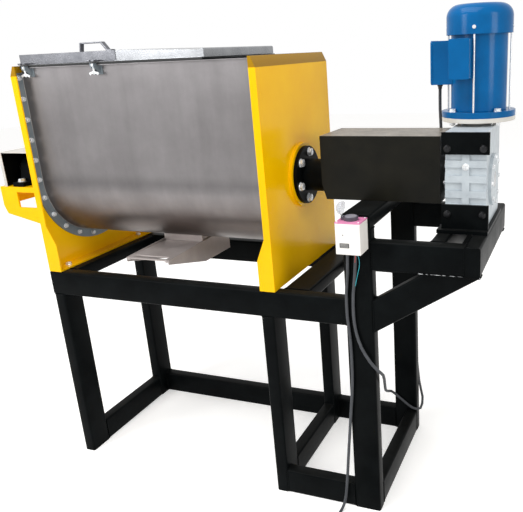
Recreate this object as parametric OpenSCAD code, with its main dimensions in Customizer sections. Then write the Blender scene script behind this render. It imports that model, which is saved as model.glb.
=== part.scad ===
/* [Frame] */
// Long side of the frame tube
tube_w = 100; // [92:2:106]
// Short side of the frame tube
tube_t = 50; // [44:2:56]
// Wall of the frame tube and of its welded ends
tube_wall = 4; // [3:0.5:6]
// Depth of the frame, front to back
frame_d = 600; // [596:2:640]
// From the left end of the frame to the centre of the middle legs
trough_bay = 985; // [965:5:1050]
// Clear width between the middle legs and the drive legs
drive_bay = 280; // [270:5:320]
// Reach of the drive platform past the drive legs
platform_reach = 355; // [350:1:375]
// Height of the top of the trough rails
rail_top = 850; // [830:5:865]
// Height of the top of the drive platform
platform_top = 1060; // [1056:1:1064]
// Height of the guard's seat above the platform
saddle_rise = 90; // [84:1:94]
// Angle of the platform braces
brace_angle = 32.5; // [30:0.5:35]
// Gap between the right end plate's foot and the cross rail
cross_gap = 12; // [5:1:40]

/* [End plates] */
// Thickness of the folded end plate
plate_t = 6; // [4:0.5:8]
// Height of the end plates above the rails
plate_h = 803; // [795:1:812]
// How far the right end plate stands outside the middle legs
plate_overhang = 15; // [5:1:20]
// Width of the folded front and back edges
edge_w = 26; // [24:1:30]
// Width of the folded foot
foot_w = 60; // [54:1:66]
// Height of the straight part of the foot
foot_h = 112; // [90:2:125]
// Height over which the foot flares in to the edge
foot_flare = 80; // [60:2:95]
// How far the top lip leans in over the trough
lip_in = 17; // [12:1:20]
// Height of the top lip
lip_h = 36; // [30:1:42]

/* [Trough] */
// Height of the agitator shaft above the trough rails
shaft_rise = 365; // [364:1:368]
// Room between the inside of the trough and the side of the frame
side_room = 47; // [45:0.5:50]
// Thickness of the trough sheet
trough_t = 3; // [2:0.5:4]
// Thickness of the bolted end flanges of the trough
flange_t = 6; // [4:0.5:8]
// Width of the rim turned outward at the top of the trough
rim_w = 14; // [10:1:16]
// Height of the rubber seal on the rim
seal_h = 8; // [6:0.5:10]
// Flange bolts up each straight side
side_bolts = 6; // [4:1:7]
// Flange bolts round the bottom
arc_bolts = 10; // [8:1:10]
// Angle between the bottom bolts
arc_step = 16.9; // [15:0.1:17]
// Flange bolt diameter
bolt_d = 10; // [8:1:12]

/* [Agitator] */
// Diameter of the agitator shaft
shaft_d = 55; // [50:1:60]
// Gap between the outer ribbons and the trough
ribbon_gap = 10; // [6:1:14]
// Radial width of the outer ribbons
outer_w = 45; // [38:1:52]
// Outer radius of the inner ribbons
inner_r = 145; // [130:1:160]
// Radial width of the inner ribbons
inner_w = 35; // [28:1:42]
// Thickness of the ribbons
ribbon_t = 8; // [6:0.5:10]
// Diameter of the ribbon arms
arm_d = 25; // [20:1:28]
// Distance between neighbouring arms, a quarter turn of ribbon
arm_pitch = 238; // [230:1:240]
// Outside diameter of the shaft coupling
coupling_d = 120; // [110:1:130]
// Length of the shaft coupling
coupling_l = 150; // [130:2:170]

/* [Lids] */
// Length of the hinged lid
lid_len = 440; // [400:5:450]
// Height of the hinged lid above the seal
lid_h = 37; // [32:1:42]
// Length of the feed cover
cover_len = 357; // [330:1:380]
// Height of the feed cover at its left end
cover_h = 38; // [32:1:42]
// Height of the feed cover at its right end
cover_low_h = 24; // [20:1:28]
// Thickness of the lid sheet
lid_t = 2; // [1.5:0.5:3]
// Height of the lid handle
handle_h = 33; // [28:1:40]
// Length of the lid handle
handle_len = 110; // [90:2:130]
// Thickness of the fixed deck plate
deck_t = 6; // [4:0.5:8]

/* [Discharge] */
// Length of the discharge along the trough
chute_l = 180; // [160:2:200]
// Depth of the discharge, front to back
chute_d = 190; // [170:2:200]
// Distance of the discharge centre from the left end of the frame
chute_x = 520; // [500:1:530]
// Height of the foot of the spout above the rails
spout_rise = 20; // [10:1:35]
// Thickness of the slide gate
gate_t = 5; // [3:0.5:6]
// How far the open gate reaches in front of the spout
gate_reach = 235; // [210:1:250]
// Length of the hand slot in the gate
slot_l = 150; // [120:2:154]

/* [Bearing pedestal] */
// Reach of the pedestal past the left end plate
pedestal_reach = 390; // [370:2:410]
// Width of the pedestal, front to back
pedestal_d = 230; // [226:2:250]
// Height of the shaft above the pedestal shelf
bearing_rise = 64; // [63:0.5:70]
// Distance of the bearing centre from the left end plate
bearing_x = 288; // [270:1:300]
// Thickness of the pedestal plates
pedestal_t = 8; // [6:0.5:10]
// Height of the hood over the bearing
hood_h = 150; // [140:1:165]

/* [Drive] */
// Outside diameter of the drive-side seal flange
seal_d = 216; // [204:1:230]
// Height of the drive guard
guard_h = 225; // [205:1:240]
// Width of the drive guard, front to back
guard_d = 220; // [200:1:230]
// Distance of the gearbox from the drive legs
gear_x = 198; // [196:1:200]
// Width of the gearbox along the agitator shaft
gear_w = 155; // [150:1:157]
// Height of the gearbox
gear_h = 319; // [312:1:326]
// Distance between the worm and the agitator shaft
gear_centres = 110; // [106:1:114]
// Reach of the gear case in front of the agitator shaft
gear_front = 128; // [122:1:134]
// Reach of the gear case behind the worm
gear_back = 56; // [50:1:62]
// Teeth on the worm wheel
wheel_teeth = 36; // [30:1:40]
// Diameter of the motor flange
motor_flange_d = 252; // [246:1:260]
// Diameter of the motor body
motor_d = 190; // [180:1:194]
// Height of the motor body above its flange
motor_h = 258; // [240:1:270]
// Diameter of the fan cowl
cowl_d = 222; // [216:1:230]
// Height of the fan cowl
cowl_h = 96; // [90:1:104]

/* [Control box] */
// Width of the control box
box_w = 84; // [80:1:90]
// Depth of the control box
box_d = 76; // [70:1:84]
// Height of the control box
box_h = 106; // [96:1:116]
// Drop of the box top below the guard's seat
box_drop = 8; // [4:1:14]
// Diameter of the push button
button_d = 40; // [36:1:42]
// Travel of the push button
button_travel = 5; // [3:0.5:6]

/* [Hidden] */
$fn = 64;

// Overrun of every cut past the face it opens
over = 1;
// Gap between pieces that move past each other
run_gap = 0.3;
// Radial clearance of shafts and pins in their bores
bore_gap = 0.05;
// Radial clearance of bolts in their holes
bolt_gap = 0.5;

// Colours
black_c = "#1b1e1f";
yellow_c = "#f0b800";
steel_c = "#a7a4a2";
zinc_c = "#c3c6c8";
cast_c = "#b4c1c9";
blue_c = "#0b6fb3";
grey_c = "#d3d1cc";
white_c = "#f1efec";

// Places along the frame
half_d = frame_d / 2;
left_x = -trough_bay;
mid_x = tube_t / 2;
drive_x = mid_x + drive_bay;
drive_end = drive_x + tube_w;
platform_end = drive_end + platform_reach;
right_x = mid_x + plate_overhang;
saddle_top = platform_top + saddle_rise;
leg_top = saddle_top - tube_t;
shaft_z = rail_top + shaft_rise;

// Bolts: a head, a washer and a nut as shares of the thread's diameter
head_w_share = 1.85;
head_h_share = 0.65;
washer_d_share = 2.1;
washer_h_share = 0.16;
nut_h_share = 0.8;

// Foot bolts
foot_bolt_d = 12;
foot_bolt_x_share = 0.5;
foot_bolt_in = 75;

// End plates and their folds
lip_a = atan(lip_in / lip_h);
lip_w = plate_t / cos(lip_a);
bend_z = plate_h - lip_h;
bend_in_z = bend_z - plate_t * tan(lip_a / 2);
boss_t = 12;
boss_edge = 12;
seal_t = 14;
seal_gap = 0.5;
nose_d = 90;
seal_bolt_d = 16;
seal_bolts = 6;
seal_rim = 23;
seal_pcd = seal_d - 2 * seal_rim;
seal_turn = 80;
tail_seal_d = 120;
tail_nose_d = 72;
tail_bolt_d = 8;
tail_bolts = 4;
tail_pcd = 98;
tail_turn = 45;

// Trough
trough_r = half_d - side_room;
trough_out = trough_r + trough_t;
flange_gap = 2;
flange_out = half_d - plate_t - flange_gap;
bolt_r = (trough_out + flange_out) / 2;
rim_drop = 6;
rim_z = rail_top + plate_h - rim_drop;
seal_top = rim_z + seal_h;
side_start = 8;
side_top_gap = 1;
side_span = rail_top + bend_z - shaft_z - side_start - bolt_d / 2 - bolt_gap - side_top_gap;
side_pitch = side_span / (side_bolts - 1);
trough_x = left_x + plate_t;
trough_l = right_x - left_x - 2 * plate_t;
trough_mid = (left_x + right_x) / 2;

// Agitator
outer_r = trough_r - ribbon_gap;
ribbon_turn = 4 * arm_pitch;
quarter_rings = 16;
arm_count = 5;
arm_reach = outer_r - outer_w - 2 * run_gap;
bearing_mid = left_x - bearing_x;
shaft_stub = 36;
coupling_gap = 3;
coupling_x = right_x + boss_t + seal_t + coupling_gap;
coupling_mid = coupling_x + coupling_l / 2;
coupling_bolt_d = 12;

// Discharge
slide_gap = 0.5;
chute_t = 5;
chute_mid = left_x + chute_x;
gate_drop = 9;
guide_lap = 7;
gate_top = shaft_z - trough_out - gate_drop;
guide_top = gate_top + guide_lap;
gate_low = gate_top - gate_t;
gate_rear = chute_d / 2 + slide_gap;
ledge_w = 12;
guide_nose = 12;
slot_w = 25;
slot_r = 6;
slot_in = 12;

// Lids, their hinges and their swing bolts
lid_inset = 15;
lid_x = left_x + lid_inset;
cover_gap = 2;
cover_x = lid_x + lid_len + cover_gap;
deck_x = cover_x + cover_len + cover_gap;
lid_z = seal_top + run_gap;
pin_d = 10;
barrel_d = 18;
barrel_l = 40;
ear_t = 6;
hinge_gap = 4.5;
hinge_lift = 6;
hinge_y = trough_out + rim_w + barrel_d / 2 + hinge_gap;
hinge_z = lid_z + barrel_d / 2 + hinge_lift;
hinge_in_share = 0.16;
tab_t = 6;
bracket_h = 50;
curl_d = 12;
handle_w = 20;
handle_t = 5;
handle_lean_share = 1 / 6;
handle_x_share = 0.68;
handle_y_share = 0.7;
swing_base_w = 40;
swing_base_t = 3;
swing_base_h = 31;
swing_ear_t = 4;
swing_pin_d = 6;
swing_out = 10;
swing_drop = 2;
eye_d = 13;
eye_w = 8;
swing_stem_d = 7;
nut_reach = 21;
wing_nut_d = 16;
wing_nut_h = 8;
wing_w = 42;
wing_t = 3;
wing_h = 13;
lug_w = 34;
lug_t = 5;
lug_out = 12;
slot_gap = 1;
swing_share = [0.09, 0.81];
swing_y = -trough_out - rim_w - swing_out;
swing_z = rim_z - swing_drop;

// Bearing pedestal
block_l = 219;
block_w = 60;
block_base = 19;
block_r = 58;
shoulder_share = 0.3;
block_bolt_d = 16;
block_pcd = 171;
shelf_z = shaft_z - bearing_rise;
gusset_low = 121;
gusset_in = 206;
gusset_heel = 85;
gusset_heel_x = 15;
window_x = 20;
window_end = 90;
window_top = 15;
window_h = 68;
hood_t = 3;
hood_d = 226;
hood_x = 363;
hood_lip = 15;
hood_gap = 10;

// Guard
guard_t = 3;
guard_lap = 96;
guard_x = coupling_x + guard_lap;
guard_gap = 10;
guard_end = drive_end + gear_x - guard_gap;
guard_heel_x = 15;
guard_heel_z = 55;
guard_hole_gap = 8;

// Gearbox
gear_mid = drive_end + gear_x + gear_w / 2;
base_t = 12;
base_margin = 13;
base_front = 32;
base_rear = 14;
gear_z = platform_top + base_t;
gear_top = gear_z + gear_h;
cover_t = 10;
cover_d = 176;
cover_pcd = 152;
cover_bolt_d = 8;
cover_bolts = 8;
case_w = gear_w - 2 * cover_t;
case_r = 14;
band_out = 6;
band_h_share = 0.072;
band_pitch_share = 0.158;
band_low_share = 0.325;
bands = 3;
spine_w = 24;
wheel_w = 34;
wheel_hub_d = 96;
wheel_hub_l = 74;
cavity_gap = 7;
worm_d = 40;
mesh_gap = 0.5;
worm_low = 62;
wheel_r = gear_centres - worm_d / 2 - mesh_gap;
tooth_h = 9;
tooth_w_share = 0.5;
front_plate_t = 12;
top_plate_h_share = 0.222;
low_plate_h_share = 0.257;
plate_bolt_x_share = 0.75;
top_bolt_share = 0.838;
low_bolt_share = 0.16;
gear_bolt_d = 12;
plate_bolt_in = 24;
plug_d = 23;
plug_t = 5;
plug_share = 0.648;
stud_d = 10;
stud_share = 0.77;

// Motor
motor_x = gear_mid;
motor_y = gear_centres;
adapter_gap = 12;
adapter_t = 15;
adapter_neck_d = 110;
adapter_bore_d = 60;
flange_h = 20;
motor_z = gear_top + adapter_gap + adapter_t + flange_h;
frame_t = 4;
shield_t = 12;
rotor_d = 28;
core_d = 110;
core_l = 130;
core_z = 62;
stator_t = 34;
cowl_t = 2;
cowl_r = 42;
cowl_lap = 9;
rod_d = 6;
rod_r = cowl_d / 2 - cowl_t - run_gap - rod_d / 2;
rod_lap = 34;
screw_d = 12;
fan_d = 176;
fan_h = 34;
fan_hub_d = 46;
fan_blades = 7;
fan_blade_t = 3;
fan_gap = 12;
term_w = 100;
term_h = 144;
term_out = 63;
term_z_share = 0.345;
term_r = 10;
cap_w = 66;
cap_h = 125;
cap_out = 44;
cap_z_share = 0.43;
cap_r = 14;
cap_off = 40;
motor_bolt_d = 12;
motor_pcd = 215;

// Control box
box_x = drive_x + tube_w / 2 - box_w / 2;
box_t = 3;
box_top = saddle_top - box_drop;
box_lid_t = 4;
box_y = -half_d - box_d;
collar_d = 48;
collar_h = 12;
button_h = 9;
stem_d = 16;
guard_pin_d = 3;
guard_pin_x = 28;
guard_pin_z = 9;
knuckle_l = 11;
cap_dome_r = 22;
cap_dome_t = 1.5;
guard_open = 80;
gland_d = 20;
gland_h = 16;
gland_neck_share = 0.7;
gland_x_share = [1 / 6, 1 / 2];
term_gland_share = 0.643;
gland_y = 10;

// Cords: routes by hand, from the glands and from the coil
cord_d = 11;
cord_sides = 8;
cord_step = 24;
coil_r = 140;
coil_turns = 3;
coil_gap = 1;
coil_rings = 24;
coil_sides = 6;
coil_tail = 30;
plug_z = 23;
grip_d = 44;
grip_l = 46;
pin_w = 6;
pin_l = 19;
supply_end = [262, -520, 6];
supply_route = [
    [327, -310, 1020], [323, -309, 950], [315, -308, 880], [314, -308, 790], [321, -308, 700],
    [322, -308, 610], [320, -308, 530], [311, -309, 430], [295, -310, 270], [281, -310, 120],
    [272, -314, 40], [266, -336, 11], [262, -380, 6], [262, -460, 6], supply_end
];
motor_route = [
    [355, -310, 1020], [349, -309, 950], [339, -308, 870], [337, -308, 800], [343, -309, 740],
    [362, -312, 680], [394, -315, 630], [418, -306, 596], [424, -270, 560], [402, -190, 480],
    [350, -20, 350], [312, 140, 250], [300, 215, 205], [314, 243, 174], [352, 243, 144],
    [390, 238, 122], [422, 252, 118], [421, 296, 150], [403, 310, 220], [390, 308, 420],
    [390, 308, 700], [396, 308, 980], [424, 304, 1076], [468, 270, 1092], [512, 215, 1136],
    [540, 160, 1230], [547, 122, 1340], [545, 110, 1440], [545, 110, 1511]
];

// The same piece at the front and at the back
module both_sides() {
    children();
    mirror([0, 1, 0]) children();
}

// A profile drawn in X and Z, drawn out along Y
module along_y(from, len) {
    translate([0, from + len, 0]) rotate([90, 0, 0]) linear_extrude(len) children();
}

// A profile drawn in Y and Z, drawn out along X
module along_x(from, len) {
    translate([from, 0, 0]) rotate([90, 0, 90]) linear_extrude(len) children();
}

// A round bar along X
module bar_x(d, from, len, y = 0, z = shaft_z) {
    translate([from, y, z]) rotate([0, 90, 0]) cylinder(d = d, h = len);
}

// A round bar along Y
module bar_y(d, from, len, x = 0, z = 0) {
    translate([x, from, z]) rotate([-90, 0, 0]) cylinder(d = d, h = len);
}

// A flat ring with its foot on the plane z = 0
module ring(outer_d, inner_d, h) {
    difference() {
        cylinder(d = outer_d, h = h);
        translate([0, 0, -over]) cylinder(d = inner_d, h = h + 2 * over);
    }
}

// Box-section tube with welded ends, from its low corner
module tube(size, at) {
    wall = [tube_wall, tube_wall, tube_wall];
    translate(at) difference() {
        cube(size);
        translate(wall) cube(size - 2 * wall);
    }
}

// A rectangle with round corners, about the origin
module rounded(w, d, r) {
    square([w - 2 * r, d], center = true);
    square([w, d - 2 * r], center = true);
    for (x = [-1, 1], y = [-1, 1]) translate([x * (w / 2 - r), y * (d / 2 - r)]) circle(r = r);
}

// Hexagon bolt along +Z with its head above the plane z = 0 and its thread below
module bolt(d, grip, nut = 0) {
    washer_h = washer_h_share * d;
    cylinder(d = washer_d_share * d, h = washer_h);
    translate([0, 0, washer_h]) cylinder(d = head_w_share * d, h = head_h_share * d, $fn = 6);
    translate([0, 0, -grip - nut]) cylinder(d = d, h = grip + nut + washer_h);
    if (nut > 0) translate([0, 0, -grip - nut_h_share * d])
        cylinder(d = head_w_share * d, h = nut_h_share * d, $fn = 6);
}

// Hole for a bolt of diameter d, from z = 0 down
module bolt_hole(d, depth) {
    translate([0, 0, -depth - over]) cylinder(d = d + 2 * bolt_gap, h = depth + 2 * over);
}

// A head that faces +X or -X, or -Y
module facing_x(side, x, y, z) {
    translate([x, y, z]) rotate([0, side * 90, 0]) children();
}

module facing_front(x, y, z) {
    translate([x, y, z]) rotate([90, 0, 0]) children();
}

module trough_legs() {
    color(black_c) both_sides() for (x = [left_x, -mid_x])
        tube([tube_t, tube_w, rail_top - tube_w], [x, -half_d, 0]);
}

module drive_legs() {
    color(black_c) both_sides() tube([tube_w, tube_t, leg_top], [drive_x, -half_d, 0]);
}

module long_rails() {
    color(black_c) difference() {
        both_sides()
            tube([drive_x - left_x, tube_t, tube_w], [left_x, -half_d, rail_top - tube_w]);
        both_sides() translate(right_foot_bolt) bolt_hole(foot_bolt_d, tube_wall);
    }
}

module cross_rails() {
    color(black_c) difference() {
        for (x = [left_x, mid_x + plate_overhang + cross_gap])
            tube([tube_w, frame_d - 2 * tube_t, tube_t], [x, -half_d + tube_t, rail_top - tube_t]);
        both_sides() translate(left_foot_bolt) bolt_hole(foot_bolt_d, tube_wall);
    }
}

module floor_rails() {
    color(black_c) {
        tube([drive_bay, tube_t, tube_w], [mid_x, -half_d, 0]);
        tube([drive_bay, tube_t, tube_w], [mid_x, half_d - tube_t, 0]);
        tube([-mid_x - left_x - tube_t, tube_t, tube_w], [left_x + tube_t, half_d - tube_t, 0]);
        for (x = [left_x, -mid_x])
            tube([tube_t, frame_d - 2 * tube_w, tube_w], [x, -half_d + tube_w, 0]);
        tube([tube_t, frame_d - 2 * tube_t, tube_w], [drive_end - tube_t, -half_d + tube_t, 0]);
    }
}

module platform_beams() {
    low = platform_top - tube_w;
    cross = [tube_t, frame_d - 2 * tube_t, tube_w];
    color(black_c) {
        both_sides() tube([platform_reach - tube_t, tube_t, tube_w], [drive_end, -half_d, low]);
        tube([tube_t, frame_d, tube_w], [platform_end - tube_t, -half_d, low]);
        tube(cross, [drive_end + gear_x - base_margin, -half_d + tube_t, low]);
    }
}

// Outline of a brace between the leg and the beam, drawn in by the given wall
module brace_outline(wall) {
    rise = tan(brace_angle);
    run = platform_reach - tube_w / sin(brace_angle);
    drop = run * rise;
    high = wall / cos(brace_angle) + drop;
    low = tube_w / cos(brace_angle) + drop - wall / cos(brace_angle);
    polygon([
        [wall, wall * rise - low], [wall, wall * rise - high],
        [(high - wall) / rise, -wall], [(low - wall) / rise, -wall]
    ]);
}

module platform_braces() {
    color(black_c) both_sides() translate([drive_end, 0, platform_top - tube_w]) difference() {
        along_y(-half_d, tube_t) brace_outline(0);
        along_y(-half_d + tube_wall, tube_t - 2 * tube_wall) brace_outline(tube_wall);
    }
}

module saddle_beam() {
    color(black_c) tube([tube_w, frame_d, tube_t], [drive_x, -half_d, leg_top]);
}

// Places of the foot bolts, on top of the plates' feet
left_foot_bolt = [left_x + foot_w * foot_bolt_x_share, -half_d + foot_bolt_in, rail_top];
right_foot_bolt = [right_x - foot_w * foot_bolt_x_share, -half_d + tube_t / 2, rail_top];

// Y and Z of every bolt of the trough's end flanges
function side_spots() = [
    for (s = [-1, 1], i = [0:side_bolts - 1]) [s * bolt_r, shaft_z + side_start + i * side_pitch]
];
function arc_spots() = [
    for (i = [0:arc_bolts - 1]) let (a = (i - (arc_bolts - 1) / 2) * arc_step)
        [bolt_r * sin(a), shaft_z - bolt_r * cos(a)]
];
flange_spots = concat(side_spots(), arc_spots());

// Y and Z of evenly spaced bolts about the agitator shaft
function shaft_spots(count, pcd, turn = 0) = [
    for (i = [0:count - 1]) let (a = turn + 360 * i / count)
        [pcd / 2 * cos(a), shaft_z + pcd / 2 * sin(a)]
];
drive_seal_spots = shaft_spots(seal_bolts, seal_pcd, seal_turn);
tail_seal_spots = shaft_spots(tail_bolts, tail_pcd, tail_turn);

// Room outside the inner face of an end plate's sloping lip, for a plate that faces +X
module lip_room() {
    translate([0, 0, rail_top]) along_y(-half_d - over, frame_d + 2 * over) polygon([
        [0, bend_in_z], [plate_t, bend_in_z], [lip_in + lip_w, plate_h], [0, plate_h]
    ]);
}

// Folded end plate whose outer face lies in the plane x = 0 and whose folds point to +X
module end_plate(boss_d, boss_h, hole_d) {
    difference() {
        union() {
            translate([0, 0, rail_top]) {
                along_y(-half_d, frame_d) polygon([
                    [0, 0], [0, bend_z], [lip_in, plate_h], [lip_in + lip_w, plate_h],
                    [plate_t, bend_in_z], [plate_t, 0]
                ]);
                both_sides() along_y(-half_d, plate_t) polygon([
                    [0, 0], [foot_w, 0], [foot_w, foot_h], [edge_w, foot_h + foot_flare],
                    [edge_w, plate_h], [lip_in, plate_h], [0, bend_z]
                ]);
                translate([0, -half_d, 0]) cube([foot_w, frame_d, plate_t]);
            }
            if (boss_h > 0) bar_x(boss_d, -boss_h, boss_h);
        }
        bar_x(hole_d, -boss_h - over, boss_h + plate_t + 2 * over);
        for (s = flange_spots) bar_x(bolt_d + 2 * bolt_gap, -over, plate_t + 2 * over, s[0], s[1]);
    }
}

module left_end_plate() {
    color(yellow_c) difference() {
        translate([left_x, 0, 0]) end_plate(0, 0, tail_nose_d + 2 * run_gap);
        both_sides() translate(left_foot_bolt + [0, 0, plate_t]) bolt_hole(foot_bolt_d, plate_t);
        for (s = tail_seal_spots)
            bar_x(tail_bolt_d + 2 * bolt_gap, left_x - over, plate_t + 2 * over, s[0], s[1]);
    }
}

module right_end_plate() {
    color(yellow_c) difference() {
        translate([right_x, 0, 0]) mirror([1, 0, 0])
            end_plate(seal_d + 2 * boss_edge, boss_t, nose_d + 2 * run_gap);
        both_sides() translate(right_foot_bolt + [0, 0, plate_t]) bolt_hole(foot_bolt_d, plate_t);
        for (s = drive_seal_spots) bar_x(
            seal_bolt_d + 2 * bolt_gap, right_x - plate_t - over, plate_t + boss_t + 2 * over, s[0], s[1]);
    }
}

// U-shaped outline about the agitator shaft, open at the top
module u_outline(r, top) {
    translate([0, shaft_z]) circle(r = r, $fn = 180);
    translate([-r, shaft_z]) square([2 * r, top - shaft_z]);
}

module trough_shell() {
    color(steel_c) difference() {
        along_x(trough_x, trough_l) {
            difference() {
                u_outline(trough_out, rim_z);
                u_outline(trough_r, rim_z + over);
            }
            for (y = [-trough_out - rim_w, trough_r]) translate([y, rim_z - trough_t])
                square([rim_w + trough_t, trough_t]);
        }
        translate([left_x, 0, 0]) lip_room();
        translate([right_x, 0, 0]) mirror([1, 0, 0]) lip_room();
        translate([chute_mid - chute_l / 2 + chute_t, -chute_d / 2 + chute_t, shaft_z - trough_out - over])
            cube([chute_l - 2 * chute_t, chute_d - 2 * chute_t, trough_out / 2]);
    }
}

// One end flange whose outer face lies on the inside of the end plate
module trough_flange() {
    difference() {
        along_x(plate_t, flange_t) difference() {
            u_outline(flange_out, rim_z - trough_t);
            u_outline(trough_out, rim_z);
        }
        lip_room();
        for (s = flange_spots)
            bar_x(bolt_d + 2 * bolt_gap, plate_t - over, flange_t + 2 * over, s[0], s[1]);
    }
}

module trough_flanges() {
    color(steel_c) {
        translate([left_x, 0, 0]) trough_flange();
        translate([right_x, 0, 0]) mirror([1, 0, 0]) trough_flange();
    }
}

module flange_bolts() {
    grip = plate_t + flange_t;
    color(zinc_c) for (s = flange_spots) {
        facing_x(1, left_x + grip, s[0], s[1]) bolt(bolt_d, grip, bolt_d);
        facing_x(-1, right_x - grip, s[0], s[1]) bolt(bolt_d, grip, bolt_d);
    }
}

module foot_bolts() {
    grip = plate_t + tube_wall;
    color(zinc_c) {
        both_sides() translate(left_foot_bolt + [0, 0, plate_t]) bolt(foot_bolt_d, grip, foot_bolt_d);
        both_sides() translate(right_foot_bolt + [0, 0, plate_t]) bolt(foot_bolt_d, grip, foot_bolt_d);
        both_sides() translate([bearing_mid, block_pcd / 2, shelf_z + block_base])
            bolt(block_bolt_d, block_base + pedestal_t, block_bolt_d);
    }
}

// Side web of the pedestal, drawn in X from the end plate and Z from the shelf
module gusset_outline() {
    top = -pedestal_t;
    low = top - window_top - window_h;
    difference() {
        polygon([
            [0, top], [-pedestal_reach, top], [-pedestal_reach, -gusset_heel],
            [-pedestal_reach + gusset_heel_x, -gusset_low], [0, -gusset_in]
        ]);
        polygon([
            [-window_x, top - window_top], [window_end - pedestal_reach, top - window_top],
            [window_end - pedestal_reach, low], [-window_x, low]
        ]);
    }
}

module bearing_bracket() {
    half = pedestal_d / 2;
    color(yellow_c) translate([left_x, 0, shelf_z]) difference() {
        union() {
            translate([-pedestal_reach, -half, -pedestal_t])
                cube([pedestal_reach, pedestal_d, pedestal_t]);
            both_sides() along_y(-half, pedestal_t) gusset_outline();
            translate([-pedestal_reach, -half, -gusset_heel])
                cube([pedestal_t, pedestal_d, gusset_heel]);
        }
        both_sides() translate([-bearing_x, block_pcd / 2, 0]) bolt_hole(block_bolt_d, pedestal_t);
        for (s = arc_spots())
            bar_x(2 * bolt_d + 2 * bolt_gap, -2 * bolt_d, 2 * bolt_d + over, s[0], s[1] - shelf_z);
    }
}

// End view of the pillow block about its bore, drawn in Y and Z
module block_outline() {
    shoulder = shoulder_share * block_r;
    foot = -bearing_rise + block_base;
    circle(r = block_r);
    translate([-block_l / 2, -bearing_rise]) square([block_l, block_base]);
    polygon([
        [-block_r - shoulder / 2, foot], [block_r + shoulder / 2, foot],
        [block_r, 0], [-block_r, 0]
    ]);
}

module pillow_block() {
    hub_w = block_w - block_base / 2;
    color(black_c) difference() {
        union() {
            translate([0, 0, shaft_z]) along_x(bearing_mid - hub_w / 2, hub_w) block_outline();
            translate([bearing_mid - block_w / 2, -block_l / 2, shelf_z])
                cube([block_w, block_l, block_base]);
        }
        bar_x(shaft_d + 2 * bore_gap, bearing_mid - block_w, 2 * block_w);
        both_sides() translate([bearing_mid, block_pcd / 2, shelf_z + block_base])
            bolt_hole(block_bolt_d, block_base);
    }
}

module bearing_hood() {
    len = hood_x - hood_gap;
    inner = [len - 2 * hood_t, hood_d - hood_t + over, hood_h - hood_t + over];
    color(grey_c) translate([left_x - hood_x, -hood_d / 2, shelf_z]) difference() {
        union() {
            difference() {
                cube([len, hood_d, hood_h]);
                translate([hood_t, -over, -over]) cube(inner);
            }
            for (x = [0, len - hood_lip]) translate([x, 0, 0]) cube([hood_lip, hood_t, hood_h]);
        }
        translate([len - hood_t - over, hood_d / 2, shaft_z - shelf_z]) rotate([0, 90, 0])
            cylinder(d = tail_seal_d + 2 * hood_gap, h = hood_t + 2 * over);
    }
}

// Turned seal housing that faces +X from the plane x = 0
module seal_housing(d, nose, nose_l) {
    difference() {
        union() {
            bar_x(d, 0, seal_t);
            bar_x(nose, -nose_l, nose_l);
        }
        bar_x(shaft_d + 2 * seal_gap, -nose_l - over, nose_l + seal_t + 2 * over);
    }
}

module seal_housings() {
    color(black_c) difference() {
        union() {
            translate([right_x + boss_t, 0, 0]) seal_housing(seal_d, nose_d, boss_t + plate_t);
            translate([left_x, 0, 0]) mirror([1, 0, 0]) seal_housing(tail_seal_d, tail_nose_d, plate_t);
        }
        for (s = drive_seal_spots) bar_x(
            seal_bolt_d + 2 * bolt_gap, right_x + boss_t - over, seal_t + 2 * over, s[0], s[1]);
        for (s = tail_seal_spots) bar_x(
            tail_bolt_d + 2 * bolt_gap, left_x - seal_t - over, seal_t + 2 * over, s[0], s[1]);
    }
}

module seal_bolts() {
    color(zinc_c) {
        for (s = drive_seal_spots) facing_x(1, right_x + boss_t + seal_t, s[0], s[1])
            bolt(seal_bolt_d, seal_t + boss_t + plate_t);
        for (s = tail_seal_spots) facing_x(-1, left_x - seal_t, s[0], s[1])
            bolt(tail_bolt_d, seal_t + plate_t);
    }
}

// Side view of the guard, drawn in by the given wall, with its lower left corner cut off
module guard_outline(wall, low) {
    polygon([
        [guard_x + wall + guard_heel_x, low], [guard_x + wall, guard_heel_z],
        [guard_x + wall, guard_h - wall], [guard_end - wall, guard_h - wall], [guard_end - wall, low]
    ]);
}

module drive_guard() {
    hole = coupling_d + 2 * guard_hole_gap;
    color(black_c) difference() {
        translate([0, 0, saddle_top]) along_y(-guard_d / 2, guard_d) guard_outline(0, 0);
        translate([0, 0, saddle_top]) along_y(-guard_d / 2 + guard_t, guard_d - 2 * guard_t)
            guard_outline(guard_t, -over);
        bar_x(hole, guard_x - over, guard_t + guard_heel_x + 2 * over);
        bar_x(shaft_d + 2 * hood_gap, guard_end - guard_t - over, guard_t + 2 * over);
    }
}

// Profile of the gear case in Y and Z, with round corners
module case_outline() {
    front = gear_front - band_out;
    translate([(gear_centres + gear_back - front) / 2, gear_z + gear_h / 2])
        rounded(gear_centres + gear_back + front, gear_h, case_r);
}

// Raised bands and the spine on the front of the gear case
module case_bands() {
    front = -gear_front;
    for (i = [0:bands - 1]) translate([
        gear_mid - case_w / 2, front, gear_z + gear_h * (band_low_share + i * band_pitch_share)
    ]) cube([case_w, band_out + over, gear_h * band_h_share]);
    for (z = [[0, low_plate_h_share], [1 - top_plate_h_share, top_plate_h_share]])
        translate([gear_mid - case_w / 2, front, gear_z + gear_h * z[0]])
            cube([case_w, band_out + case_r, gear_h * z[1]]);
    translate([gear_mid - spine_w / 2, front, gear_z + gear_h * low_plate_h_share])
        cube([spine_w, band_out + over, gear_h * (1 - low_plate_h_share - top_plate_h_share)]);
}

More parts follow.
